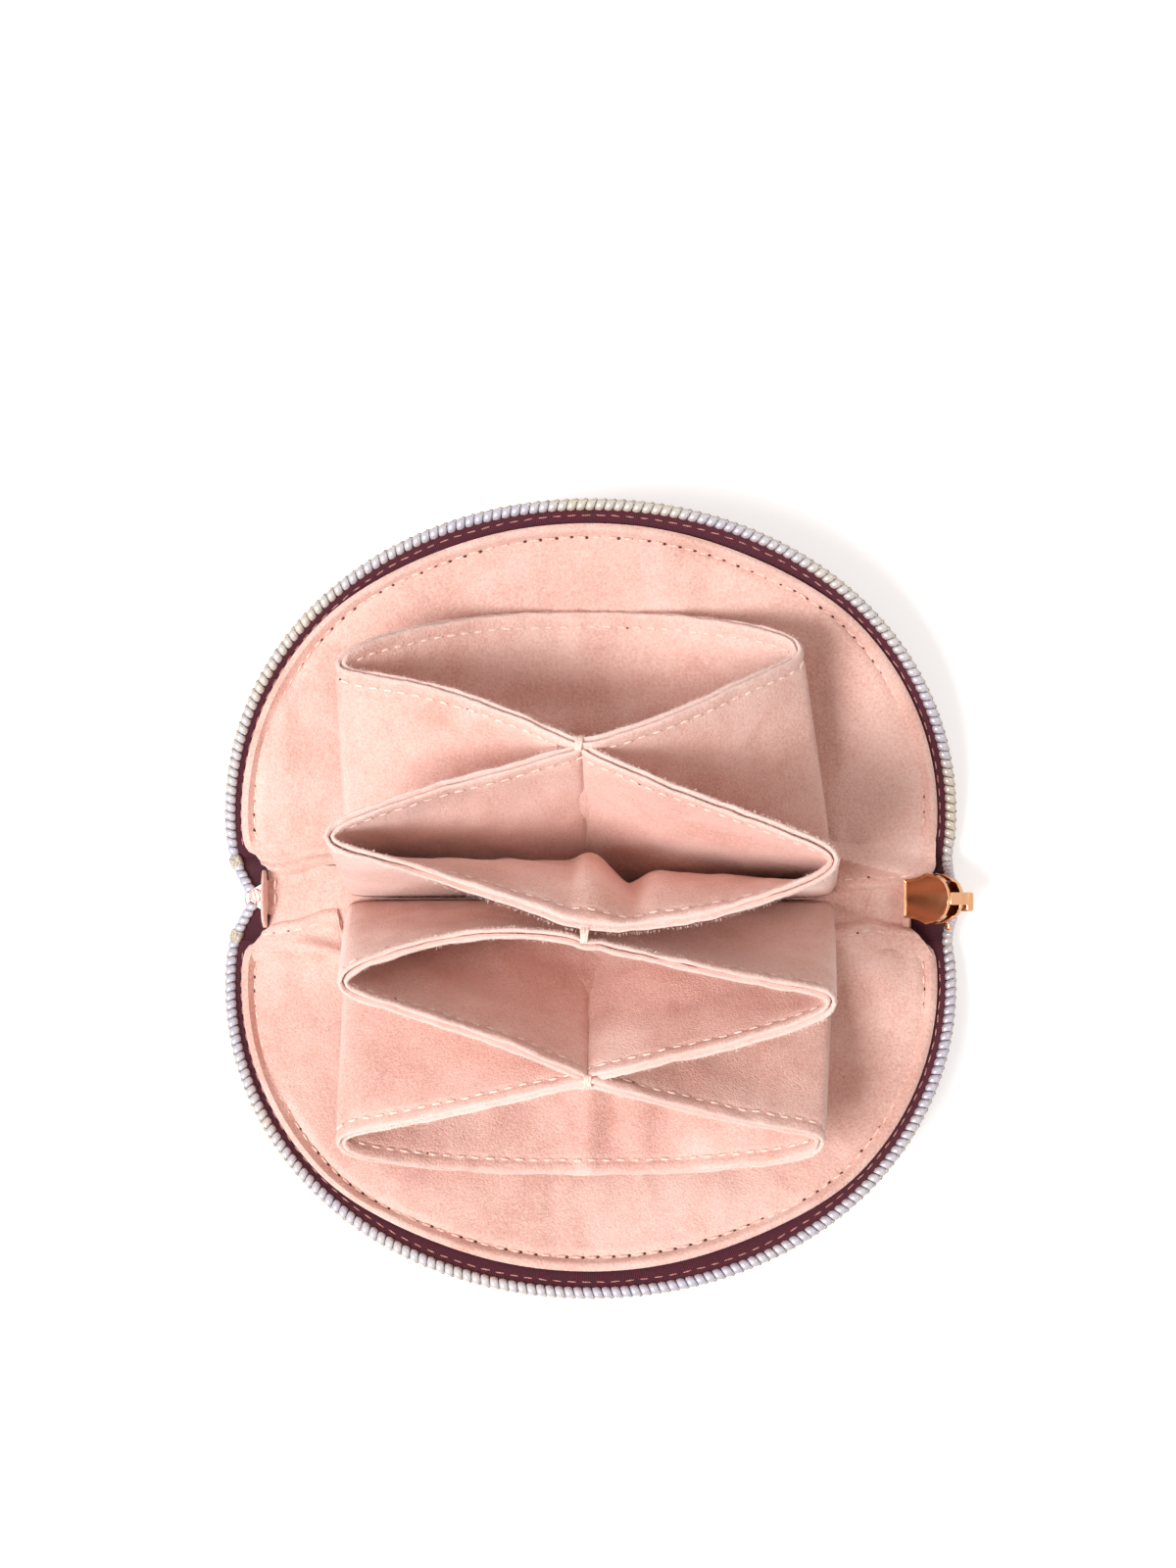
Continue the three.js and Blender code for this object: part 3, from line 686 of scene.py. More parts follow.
# padded suede lining of each side
lining = {
    "topInset": {1: 3.4, -1: 3.9},
    "sideInset": 2.1,
    "rightTrim": 0.45,       # how much further in it ends at the right
    "low": 0.8,
    "corner": 5.0,
    "thickness": 0.9,
    "seamInset": 2.5,        # stitch line inside the panel's edge
    "seamDip": 1.1,
    "crown": 0.55,           # padding that stands up inside the seam
    "edgeRoll": 0.6,
    "rumple": (0.42, 0.16),  # wide and fine unevenness
    "creases": 1.3,          # at the lower corners
    "pulls": 0.3,            # at the top
    "ringGrading": 1.35,     # crowds the rings towards the edge
    "steps": 260,
    "rings": 36,
    "seamLow": 3.2,          # no stitches below this height
    "stitch": {"pitch": 2.9, "length": 1.9, "width": 0.5, "rise": 0.32, "hole": 0.4},
}


def liningInset(face):
    def inset(angle):
        wide = mix(lining["sideInset"], lining["topInset"][face], ease((math.sin(angle) - 0.66) / 0.28))
        return wide + lining["rightTrim"] * ease(math.cos(angle) / 0.6)
    return inset


def liningLift(face, u, v, fromEdge):
    # height of the lining's top over its plain dish
    roll = -lining["edgeRoll"] * (1 - min(1.0, fromEdge)) ** 2
    seam = -lining["seamDip"] * bump((fromEdge - lining["seamInset"]) / 0.65)
    puff = 0.22 * bump((fromEdge - 1.2) / 0.8)
    pad = lining["crown"] * ease((fromEdge - lining["seamInset"]) / 7)
    wide, fine = lining["rumple"]
    rumple = wide * wave(u, v * 1.3, 17, face * 4.0) + fine * wave(u, v, 6.5, face * 9.0)
    lowPart = bump(v / 10) * ease((abs(u) - 36) / 12)
    creases = lining["creases"] * lowPart * wave(u * 1.6, v * 0.35, 5.0, face * 2.0)
    around = math.atan2(u, v - 10) * 60
    pulls = lining["pulls"] * ease((v - 34) / 10) * wave(around, fromEdge * 0.25, 4.5, face * 3.0)
    return roll + seam + puff + pad + (rumple + creases + pulls) * ease(fromEdge / 5)


def addLining(face, word):
    outline = panelOutline(liningInset(face), lining["low"], lining["corner"], lining["steps"])

    def level(u, v, fromEdge):
        return liningLift(face, u, v, fromEdge)

    def place(s, t):
        u, v, fromEdge = panelPoint(outline, s, t ** lining["ringGrading"])
        return onSide(face, u, v, level(u, v, fromEdge)) * mm

    piece = sheetPiece(f"{word}_suede_lining", lining["steps"], lining["rings"], place,
                       lining["thickness"])
    finishPiece(piece, f"{word}_shell", "suede", look["lining"], f"{word}_lining")
    run = seamRun(face, outline, lining["seamInset"], level, lining["seamLow"], 1)
    addStitches(f"{word}_lining_stitches", run, lining["stitch"], f"{word}_shell", "thread",
                look["liningThread"], holes=0.85)


for face, word in sides:
    addLining(face, word)
print("linings made")


# fanned pockets, each a loop of doubled suede; leans in degrees from upright, positive to the rear;
# left and right folds: lean, and reach at the rim in mm;
# back and front walls: lean at the middle, and how much further each leans half way to either fold
pocket = {
    "height": 48.0,
    "halfWidth": 46.5,
    "pitch": 3.3,             # from one pocket's foot to the next
    "slit": 0.9,              # half the gap inside a pocket
    "valley": 2.0,            # centre fold of the walls that have one
    "valleyReach": 15.0,
    "swell": 1.2,             # how much a fold opens towards the rim
    "foot": 4.8,
    "layers": 1.9,            # two suede layers back to back
    "footLayers": 1.15,       # the same, pressed flat at the foot
    "groove": 1.7,            # depth of the hairline between the layers at the rim
    "around": 300,
    "seamBelow": 2.5,
    "threadOut": 0.385,       # where the seam's thread lies, as a share of the layers' thickness
    "seedStep": 11.0,
    "stitch": {"pitch": 2.75, "length": 1.8, "width": 0.5, "rise": 0.1, "hole": 0.25},
    "fuzz": 2600,             # loose fibres along each cut rim
    "keep": 0.16,             # how flat the pockets fold as the case closes
    "flat": (0.187, 0.05),    # the band that a pocket is sewn from, in metres: way round and height
    "walls": [
        {"place": 1.5, "left": (52, 45), "right": (58, 37.5), "back": (77, 6, 6),
         "front": (28.5, 2, -4.3), "proud": 1.5, "crease": 1.5, "middle": -2.6, "joint": "rear_hinge"},
        {"place": 0.5, "left": (11, 44.8), "right": (6, 41.5), "back": (27.3, 2.5, 0.6),
         "front": (-6.8, 0, -4), "proud": 0.0, "crease": 0.0, "middle": -1.6, "joint": "rear_hinge",
         "fold": "back", "bulge": 7.0},
        {"place": -0.5, "left": (-15.5, 42.6), "right": (-20, 41.4), "back": (-8.3, 5, 0),
         "front": (-35.2, 0, -2.5), "proud": 0.0, "crease": 0.0, "middle": -0.7, "joint": "front_hinge",
         "fold": "front"},
        {"place": -1.5, "left": (-55.5, 45.2), "right": (-55.5, 41.5), "back": (-36.2, 1, 0),
         "front": (-72, -5, -5), "proud": 0.0, "crease": 0.0, "middle": -0.4, "joint": "front_hinge",
         "ripples": [(4, 2.4, 0.7), (9, 2.2, -0.7), (15, 3, 0.56), (21, 2.6, -0.49)]},
    ],
}


def wallLean(wall, rear, s):
    middle, leftBow, rightBow = wall["back"] if rear else wall["front"]
    fold, bow = (wall["left"][0], leftBow) if s < 0 else (wall["right"][0], rightBow)
    far = abs(s)
    return math.radians(middle + (fold - middle) * far + 4 * bow * far * (1 - far))


def wallBelly(wall, rear, x, h, far, seed):
    # how far the fabric stands out of the wall's own plane
    high = h / pocket["height"]
    off = abs(x - wall["middle"] * high)
    free = ease(h / 14) * (1 - ease((h - 36) / 11)) * (1 - far ** 6)
    belly = free * (0.9 * wave(x, h * 1.6, 19, seed) + 0.4 * wave(x, h, 7, seed + 5))
    belly += 0.25 * ease(h / 10) * (1 - far ** 8) * wave(x * 1.2, h * 2.2, 4.0, seed + 9)
    if wall.get("fold") == ("back" if rear else "front"):
        belly += pocket["valley"] * ease(h / 16) * max(0.0, 1 - off / pocket["valleyReach"]) ** 1.3
        belly += 0.45 * ease(h / 16) * bump(off / 0.8)
    else:
        belly -= 0.35 * ease(h / 20) * bump(off / 1.6)
    if wall.get("bulge") and not rear:
        # the wall stands up inwards half way and is pinched beside its middle
        shape = math.sin(math.pi * min(1.0, high)) ** 0.8 * (1 - far ** 2) ** 1.5
        pinch = 0.28 * bump(x / 2.6) - 0.5 * bump((x - 7.0) / 3.4)
        belly -= wall["bulge"] * shape * (1 + pinch)
    if wall.get("ripples") and not rear:
        ripples = sum(size * bump((x - at) / wide) for at, wide, size in wall["ripples"])
        belly += ripples * ease(h / 12) * (1 - ease((h - 42) / 6))
    if rear and wall["crease"]:
        line = 28 + 1.5 * math.sin(x / 15)
        belly -= wall["crease"] * bump((h - line) / 2.2) * (1 - far ** 4)
        belly += 0.5 * wall["crease"] * bump((h - line - 4.5) / 3) * (1 - far ** 4)
    return belly


def wallMiddle(wall, rear, s, h, seed):
    # middle of the doubled wall; s runs -1 to 1 across, h is the height along the fabric
    angle = wallLean(wall, rear, s)
    far = abs(s)
    high = h / pocket["height"]
    hand = 1 if rear else -1
    gap = (pocket["slit"] + pocket["swell"] * high * far ** 6) * math.sqrt(max(0.0, 1 - far ** 16))
    reach = wall["left"][1] if s < 0 else wall["right"][1]
    x = s * mix(pocket["halfWidth"], reach, high) + wall["middle"] * high * (1 - far) ** 1.5
    along = Vector((0, math.sin(angle), math.cos(angle)))
    outward = Vector((0, math.cos(angle), -math.sin(angle))) * hand
    proud = wall["proud"] * (1 - far ** 2) * high ** 4 if rear == (wall["place"] > 0) else 0.0
    foot = Vector((x, wall["place"] * pocket["pitch"] + hand * gap, pocket["foot"]))
    return foot + along * (h + proud) + outward * wallBelly(wall, rear, x, h, far, seed)


def wallLoop(wall, h, seed, count):
    half = count // 2
    loop = []
    for rear in (True, False):
        for i in range(half):
            turn = -math.cos(math.pi * i / half)
            s = 0.35 * turn + 0.65 * (-1 + 2 * i / half)
            loop.append(wallMiddle(wall, rear, s if rear else -s, h, seed + (0 if rear else 40)))
    return loop


def loopFrame(wall, h, seed, count):
    # a loop, its outward directions and its directions up the fabric
    loop = wallLoop(wall, h, seed, count)
    above = wallLoop(wall, h + 0.5, seed, count)
    rise = [(b - a).normalized() for a, b in zip(loop, above)]
    out = [rise[i].cross(loop[(i + 1) % count] - loop[i - 1]).normalized() for i in range(count)]
    return loop, out, rise


def pocketSection():
    # the wall's cut from the outer foot over the rim to the inner foot: (height, share of the thickness)
    top = pocket["height"]
    seam = top - pocket["seamBelow"]
    outer = [(2.45 * i, 0.5) for i in range(19)]
    outer += [(seam - 0.6, 0.49), (seam, 0.34), (seam + 0.6, 0.49)]
    outer += [(top - 1.4, 0.54), (top - 0.9, 0.53), (top - 0.42, 0.5), (top - 0.12, 0.41), (top, 0.27)]
    outer += [(top - 0.2, 0.14), (top - pocket["groove"], 0.02)]
    return outer + [(h, -off) for h, off in reversed(outer)]


def addPocketFuzz(number, frames, thick):
    # cut fibres that stand along the two edges of the rim and in the hairline between them
    rng = random.Random(number)
    loop, out, rise = frames
    points = []
    faces = []
    for _ in range(pocket["fuzz"]):
        i = rng.randrange(len(loop))
        after = loop[(i + 1) % len(loop)]
        at = loop[i].lerp(after, rng.random())
        across = rng.choice((-0.5, -0.44, -0.3, 0.3, 0.44, 0.5, -0.04, 0.04)) + rng.uniform(-0.05, 0.05)
        root = at + out[i] * thick * across - rise[i] * (0.15 + max(0.0, abs(across) - 0.4))
        ahead = (after - loop[i]).normalized()
        lean = rise[i] * rng.uniform(0.1, 1.0) + out[i] * (across * 2.2 + rng.uniform(-0.5, 0.5))
        lean = (lean + ahead * rng.uniform(-0.9, 0.9)).normalized()
        width = ahead * rng.uniform(0.03, 0.055)
        tip = root + lean * rng.uniform(0.22, 0.62)
        k = len(points)
        corners = (root - width, root + width, tip + out[i] * 0.03, root + out[i] * 0.05)
        points += [corner * mm for corner in corners]
        faces += [[k, k + 1, k + 2], [k + 1, k + 3, k + 2], [k + 3, k, k + 2], [k, k + 3, k + 1]]
    return meshPiece(f"pocket_{number}_rim_fibres", points, faces)


def squashWith(piece, wall):
    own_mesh(piece)


def addPocket(number, wall):
    section = pocketSection()
    count = pocket["around"]
    seed = number * pocket["seedStep"]
    frames = {h: loopFrame(wall, h, seed, count) for h in sorted({h for h, _ in section})}
    rows = len(section) - 1
    top = pocket["height"]

    def place(s, t):
        i = int(round(s * count)) % count
        h, off = section[int(round(t * rows))]
        loop, out, rise = frames[h]
        thick = mix(pocket["footLayers"], pocket["layers"], ease(h / 14))
        ragged = 0.0
        if h > top - 0.95:
            ragged = 0.16 * wave(i * 0.7, off * 6, 1.3, seed) + 0.26 * wave(i, 0, 11, seed + (off > 0))
            thick *= 1 + 0.22 * wave(i, 0, 8, seed + 3)
        return (loop[i] + out[i] * thick * off + rise[i] * ragged) * mm

    piece = gridPiece(f"pocket_{number}_suede", count, rows, place)
    closeEdges(piece, bpy.ops.mesh.bridge_edge_loops)
    smooth(piece)
    made = [finishPiece(piece, "base", "suede", look["suede"], f"pocket_{number}")]
    loop, out, _ = frames[top - pocket["seamBelow"]]
    for word, hand in (("outer", 1), ("inner", -1)):
        deep = hand * pocket["layers"] * pocket["threadOut"]
        run = [(at + away * deep, away * hand) for at, away in zip(loop, out)]
        made += addStitches(f"pocket_{number}_{word}_stitches", run + run[:1], pocket["stitch"], "base",
                            "thread", look["thread"], holes=0.12)
    fuzz = addPocketFuzz(number, frames[top], pocket["layers"])
    made.append(finishPiece(fuzz, "base", "suede", look["fibre"]))
    for one in made:
        squashWith(one, wall)
    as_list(made[1:])


for number, wall in enumerate(pocket["walls"], 1):
    addPocket(number, wall)
print("pockets made")


# the thread bars that tie neighbouring rims together
tack = {"winds": 6, "steps": 14, "radius": 0.17, "spread": 1.02, "skew": 0.25, "reach": 1.35,
        "height": 0.8, "sunk": 0.35}


def addTack(number, rear, front):
    seed = number * pocket["seedStep"]
    a = wallMiddle(rear, False, 0, pocket["height"], seed + 40)
    b = wallMiddle(front, True, 0, pocket["height"], seed + pocket["seedStep"])
    lean = (wallLean(rear, False, 0) + wallLean(front, True, 0)) / 2
    rise = Vector((0, math.sin(lean), math.cos(lean)))
    across = Vector((0, math.cos(lean), -math.sin(lean)))
    middle = (a + b) / 2 - rise * tack["sunk"]
    rng = random.Random(number * 5)
    loops = []
    for k in range(tack["winds"]):
        shift = (k / (tack["winds"] - 1) - 0.5) * tack["spread"]
        skew = rng.uniform(-tack["skew"], tack["skew"])
        loops.append([])
        for turn in roundTurn(tack["steps"]):
            wide, high = math.cos(turn), math.sin(turn)
            at = middle + across * wide * tack["reach"] + rise * high * tack["height"]
            loops[-1].append(at + Vector((shift + skew * wide, 0, 0)))
    piece = threadLoops(f"rim_tack_{number}_thread", tack["radius"], 1, loops)
    finishPiece(piece, "base", "thread", look["thread"], f"rim_tack_{number}")
    squashWith(piece, front if number > 1 else rear)


for number, (rear, front) in enumerate(zip(pocket["walls"], pocket["walls"][1:]), 1):
    addTack(number, rear, front)
print("tacks made")


# coil zip round each side; its ends leave the side and run on to the stop and to the slider
coil = {
    "pitch": 1.75,
    "level": -1.35,           # middle of the coil below the lining's plane
    "inset": 0.0,
    "core": 0.45,             # filler cord inside the coil
    "tapeLevel": -1.3,
    "tapeInner": 8.6,
    "pull": 2.6,              # how straight it leaves the side at either end
    "leftEnd": {1: (-66.0, 2.0, 6.4), -1: (-65.6, 1.5, 6.2)},
    "rightEnd": {1: (68.6, 3.0, 12.6), -1: (69.0, 3.3, 12.4)},
    "tapeThickness": 0.55,
    "tapeRows": [("outer", 2.0, 635), ("inner", 2.75, 170)],     # name, inset and last step of each seam
    "tapeStitch": {"pitch": 2.7, "length": 1.8, "width": 0.26, "rise": 0.06},
    "tapeSteps": 640,
    "outerBead": (0.5, 0.42, 0.5),
    "outerReach": 0.82,
    "rightUp": Vector((-0.5, 0, 0.85)).normalized(),      # which way the coil faces at the slider
    "freed": side["hingeY"] + 3.2,        # nearer the middle than this, the zip is free of the side
    "endSteps": 24,
    "tapeEnd": {"width": (4.2, 7.6), "wider": {-1: 0.0, 1: 2.2}, "thickness": 0.5},
    "corePitch": 0.8,
    "stop": {"from": 7.0, "to": 7.4, "size": (2.4, 2.4, 1.9), "waist": 0.12, "waistWidth": 0.22,
             "round": 0.22},
}


def toothShape(point):
    # a ring primitive drawn out to one turn of the coil: a broad head outside, a narrow leg inside
    turn = math.atan2(point.y, point.x)
    off = math.hypot(point.x, point.y) - 1
    across = math.cos(turn) * 0.66 + off * math.cos(turn)
    high = math.sin(turn) * 0.4 + off * math.sin(turn)
    broad = 2.1 + 0.08 * math.cos(turn)
    return Vector((point.z * broad + 0.22 * math.cos(turn), across, high))


toothTurn = template(bpy.ops.mesh.primitive_torus_add, toothShape, major_segments=14, minor_segments=7,
                     major_radius=1, minor_radius=0.42)


def zipRun(face, pitch):
    # (place, along, outward, up) at even steps of the coil, from its left end over the top to its right
    normal = sideNormal(face)
    flat = edgeRun(coil["inset"], side["zipEnd"], 500)
    main = [(onSide(face, p.x, p.y, coil["level"]), normal) for p in flat]
    ends = []
    for end, (first, _), (second, _), final in (("leftEnd", main[0], main[3], up),
                                                ("rightEnd", main[-1], main[-4], coil["rightUp"])):
        x, y, z = coil[end][face]
        goal = Vector((x, face * y, z))
        pull = first + (first - second).normalized() * coil["pull"]
        bent = []
        for i in range(coil["endSteps"]):
            t = (i + 1) / coil["endSteps"]
            at = first * (1 - t) ** 2 + pull * 2 * t * (1 - t) + goal * t ** 2
            bent.append((at, normal.lerp(final, ease(t)).normalized()))
        ends.append(bent)
    whole = ends[0][::-1] + main + ends[1]
    lengths = distances([place for place, _ in whole])
    centre = Vector((0, face * 26, 0))
    spots = []
    for j, t in stretches(lengths, [k * pitch for k in range(int(lengths[-1] / pitch) + 1)]):
        (a, upA), (b, upB) = whole[j], whole[j + 1]
        place = a.lerp(b, t)
        along = (b - a).normalized()
        outward = upA.lerp(upB, t).cross(along).normalized()
        if outward.dot(place - centre) < 0:
            outward.negate()
        above = outward.cross(along).normalized()
        spots.append((place, along, outward, -above if above.z < 0 else above))
    return spots


def endPart(spots, limit, hand):
    # the part of a run that lies nearer the middle than a limit, at the left end (-1) or the right (1)
    return [spot for spot in spots if abs(spot[0].y) < limit and spot[0].x * hand > 0]


def addCoil(face, word, hinge):
    body = f"{word}_shell"
    limit = coil["freed"]
    teeth = zipRun(face, coil["pitch"])
    sewn = [spot for spot in teeth if abs(spot[0].y) >= limit]
    finishPiece(copyAlong(f"{word}_coil", toothTurn, sewn), body, "zip_silver", look["coil"],
                f"{word}_zip_teeth")
    # the return bends of the coil stand between its turns, at the outside
    wide, deep, high = coil["outerBead"]
    bends = []
    for (a, along, outward, above), (b, _, _, _) in zip(sewn, sewn[1:]):
        if (b - a).length < coil["pitch"] * 1.5:
            place = (a + b) / 2 + outward * coil["outerReach"]
            bends.append((place, along * wide, outward * deep, above * high))
    finishPiece(copyAlong(f"{word}_coil_bends", dotShape, bends), body, "zip_silver", look["bend"])
    for hand, end in hands:
        turns = copyAlong(f"{word}_coil_{end}_end", toothTurn, endPart(teeth, limit, hand))
        finishPiece(turns, hinge, "zip_silver", look["coil"])
    cord = zipRun(face, coil["corePitch"])
    addCord(f"{word}_coil_core", [spot for spot in cord if abs(spot[0].y) >= limit - 0.9], body)
    for hand, end in hands:
        addCord(f"{word}_coil_core_{end}_end", endPart(cord, limit, hand), hinge)


def addCord(name, spots, body):
    # the filler cord that the coil is wound round
    count = len(spots) - 1

    def place(s, t):
        at, _, outward, above = spots[int(round(s * count))]
        turn = 2 * math.pi * t
        return (at + (outward * math.cos(turn) + above * math.sin(turn)) * coil["core"]) * mm

    cord = gridPiece(name, count, 8, place)
    faceOutwards(cord)
    smooth(cord)
    finishPiece(cord, body, "zip_silver", look["core"])


def addTape(face, word, hinge):
    # sewn under the lining, with the visible strip beside the coil
    last = coil["tapeSteps"]
    flat = edgeRun(0.0, side["zipEnd"] - 1.5, last + 1)

    def tapeSpot(i, inset, w):
        ahead = (flat[min(last, i + 1)] - flat[max(0, i - 1)]).normalized()
        p = flat[i] + Vector((ahead.y, -ahead.x)) * inset
        return onSide(face, p.x, p.y, w)

    def place(s, t):
        i = int(round(s * last))
        lift = 0.12 * wave(i, t * 30, 26, face)
        return tapeSpot(i, mix(0.5, coil["tapeInner"], t), coil["tapeLevel"] + lift) * mm

    tape = sheetPiece(f"{word}_woven_tape", last, 8, place, coil["tapeThickness"])
    finishPiece(tape, f"{word}_shell", "zip_tape", look["tape"], f"{word}_zip_tape")
    for row, inset, end in coil["tapeRows"]:
        run = [(tapeSpot(i, inset, coil["tapeLevel"]), sideNormal(face)) for i in range(6, end, 2)]
        addStitches(f"{word}_tape_{row}_stitches", run, coil["tapeStitch"], f"{word}_shell", "thread",
                    look["tapeThread"])

    # loose ends of the tape, from the side down to the stop and up to the slider
    settings = coil["tapeEnd"]
    fine = zipRun(face, 0.25)
    for hand, end in hands:
        spots = endPart(fine, coil["freed"] + 1.5, hand)[::-hand]
        steps = len(spots) - 1

        def endPlace(s, t):
            at, _, outward, above = spots[int(round(s * steps))]
            wide = mix(*settings["width"], s) + settings["wider"][hand]
            return (at - outward * (t * wide - 0.2) - above * (0.35 + 0.5 * t)) * mm

        loose = sheetPiece(f"{word}_tape_{end}_end", steps, 6, endPlace, settings["thickness"])
        finishPiece(loose, hinge, "zip_tape", look["tape"])


def addTopStop(face, word):
    # a moulded stop pressed round the last turns of the coil
    settings = coil["stop"]
    low, high = settings["from"], settings["to"]
    run = [spot for spot in endPart(zipRun(face, 0.2), high, -1) if abs(spot[0].y) > low]
    at, *ways = run[0]
    stop = newCube(f"{word}_moulded_stop")
    addBevel(stop, settings["round"], 3)
    applyAll(stop)
    for point in stop.data.vertices:
        waist = 1 - settings["waist"] * bump(point.co.x / settings["waistWidth"])
        steps = zip(ways, point.co, settings["size"])
        along, outward, above = (way * c * size for way, c, size in steps)
        point.co = (at + along + (outward + above) * waist) * mm
    faceOutwards(stop)
    smooth(stop, 50)
    finishPiece(stop, f"{word}_shell", "zip_silver", look["bend"], f"{word}_top_stop")


# thread loops that close the zip's left-hand end
endLoops = {
    "middle": (-65.4, 0.2, 6.3),
    "radius": 0.2,
    "steps": 18,
    "loops": [(0.4, 1.5, 1.2), (-0.5, 1.9, 0.7), (0.9, 1.2, 0.5)],       # shift, reach, height of each
}


def addEndLoops():
    x, y, z = endLoops["middle"]
    loops = []
    for shift, reach, tall in endLoops["loops"]:
        loops.append([Vector((x + shift * 0.8 + 1.1 * math.sin(turn),
                              y + shift * 0.5 + reach * math.cos(turn),
                              z + tall * math.sin(turn + 0.6))) for turn in roundTurn(endLoops["steps"])])
    piece = threadLoops("left_end_thread_loops", endLoops["radius"], 2, loops)
    finishPiece(piece, "base", "thread", look["liningThread"])


for face, word in sides:
    freeEnds = hingeBlend(face, word, 5.5, 9.0, 6)
    addCoil(face, word, freeEnds)
    addTape(face, word, freeEnds)
    addTopStop(face, word)
addEndLoops()
print("zip made")


# strip along the spine, the soft webs that join it to each side, and the rolled ends, in mm
spine = {
    "top": 4.15,
    "halfLength": 62.3,
    "longer": 1.2,            # how much further it runs at the left
    "halfWidth": 6.4,
    "endHalfWidth": 5.6,
    "taper": 9.0,
    "thickness": 0.8,
    "endRoll": {-1: -63.2, 1: 61.2},
    "rollWidth": {-1: 0.65, 1: 0.9},
    "endStitch": {"x": -61.3, "from": -1.4, "to": 4.4, "pitch": 2.8, "length": 2.4, "width": 0.6,
                  "rise": 0.35},
    "endHeight": 3.2,
    "steps": (420, 26),
    "webSteps": (460, 22),
    "webEdge": {              # how far from the middle line each web's rolled edge lies, at stations x
        1: [(-62, 5.2), (-59.5, 4.5), (-49.7, 6.6), (-46.5, 7.0), (45.4, 7.0), (46.2, 2.0), (48.4, 1.3),
            (54, 1.7), (61.5, 2.1)],
        -1: [(-63.5, 5.3), (-59, 4.2), (-49.9, 1.9), (-49.2, 1.9), (-48.3, 5.6), (-46.6, 7.0), (45.4, 7.0),
             (46.4, 5.6), (48, 5.0), (54, 3.7), (58, 4.7), (61.5, 5.3)],
    },
    "webStitched": {1: [(48.5, 60.5)], -1: [(-61.5, -50.5), (49, 57)]},
    "webReach": 5.2,          # how far up the side the web runs
    "webThickness": 0.6,
    "webHalfLength": 61.5,
    "webSeam": 2.4,           # how far from its edge its stitches lie
    "cornerOut": 5.4,         # how far its corner rounds out to the side's edge
    "stitch": {"pitch": 3.0, "length": 2.0, "width": 0.42, "rise": 0.02, "hole": 0.28},
}


def spineHalfWidth(x):
    inTaper = ease((abs(x) - spine["halfLength"] + spine["taper"]) / spine["taper"])
    return mix(spine["halfWidth"], spine["endHalfWidth"], inTaper)


def spineTop(x, y):
    # height of the strip, with two folds and the puffs between them near its right end
    rumple = 0.21 * wave(x, y, 8, 2.0) + 0.084 * wave(x, y, 3.2, 5.0)
    fold = 0.8 * bump((x - 54.4 - 0.25 * y) / 0.55) * bump((y + 1) / 2.8)
    fold += 0.5 * bump((x - 47.4) / 1.6) * bump((y + 1.5) / 4)
    puff = 0.95 * bump((x - 52.3) / 1.9) * bump((y + 1.2) / 2.2)
    puff += 0.85 * bump((x - 56.9) / 2.2) * bump((y + 0.6) / 2.8)
    return spine["top"] + rumple - fold + puff


def addSpineStrip():
    def place(s, t):
        x = mix(-spine["halfLength"] - spine["longer"], spine["halfLength"], s)
        y = (2 * t - 1) * spineHalfWidth(x)
        return Vector((x, y, spineTop(x, y))) * mm

    strip = sheetPiece("spine_suede_strip", *spine["steps"], place, spine["thickness"])
    finishPiece(strip, "base", "suede", look["lining"], "base_lining")


def addEndRoll(hand, word):
    # the folded suede edge that stands across each end of the strip
    reach = spine["endHalfWidth"]
    foot = spine["top"] - 0.9

    def place(s, t):
        y = mix(-reach, reach, s)
        far = abs(2 * s - 1)
        high = spine["endHeight"] * (1 - far ** 3.5) + 0.35 * wave(y, 0, 3.5, hand)
        turn = 2 * math.pi * t
        wide = spine["rollWidth"][hand] * (1 - 0.25 * far)
        x = spine["endRoll"][hand] + wide * math.cos(turn) - hand * 0.25 * wave(y, 0, 4, hand + 7)
        half = high / 2 + 0.9
        return Vector((x, y, foot + half * (1 + math.sin(turn)))) * mm

    roll = gridPiece(f"{word}_rolled_end", 40, 20, place)
    closeEdges(roll, bpy.ops.mesh.edge_face_add)
    smooth(roll, 60)
    finishPiece(roll, "base", "suede", look["lining"], f"{word}_end_wall")


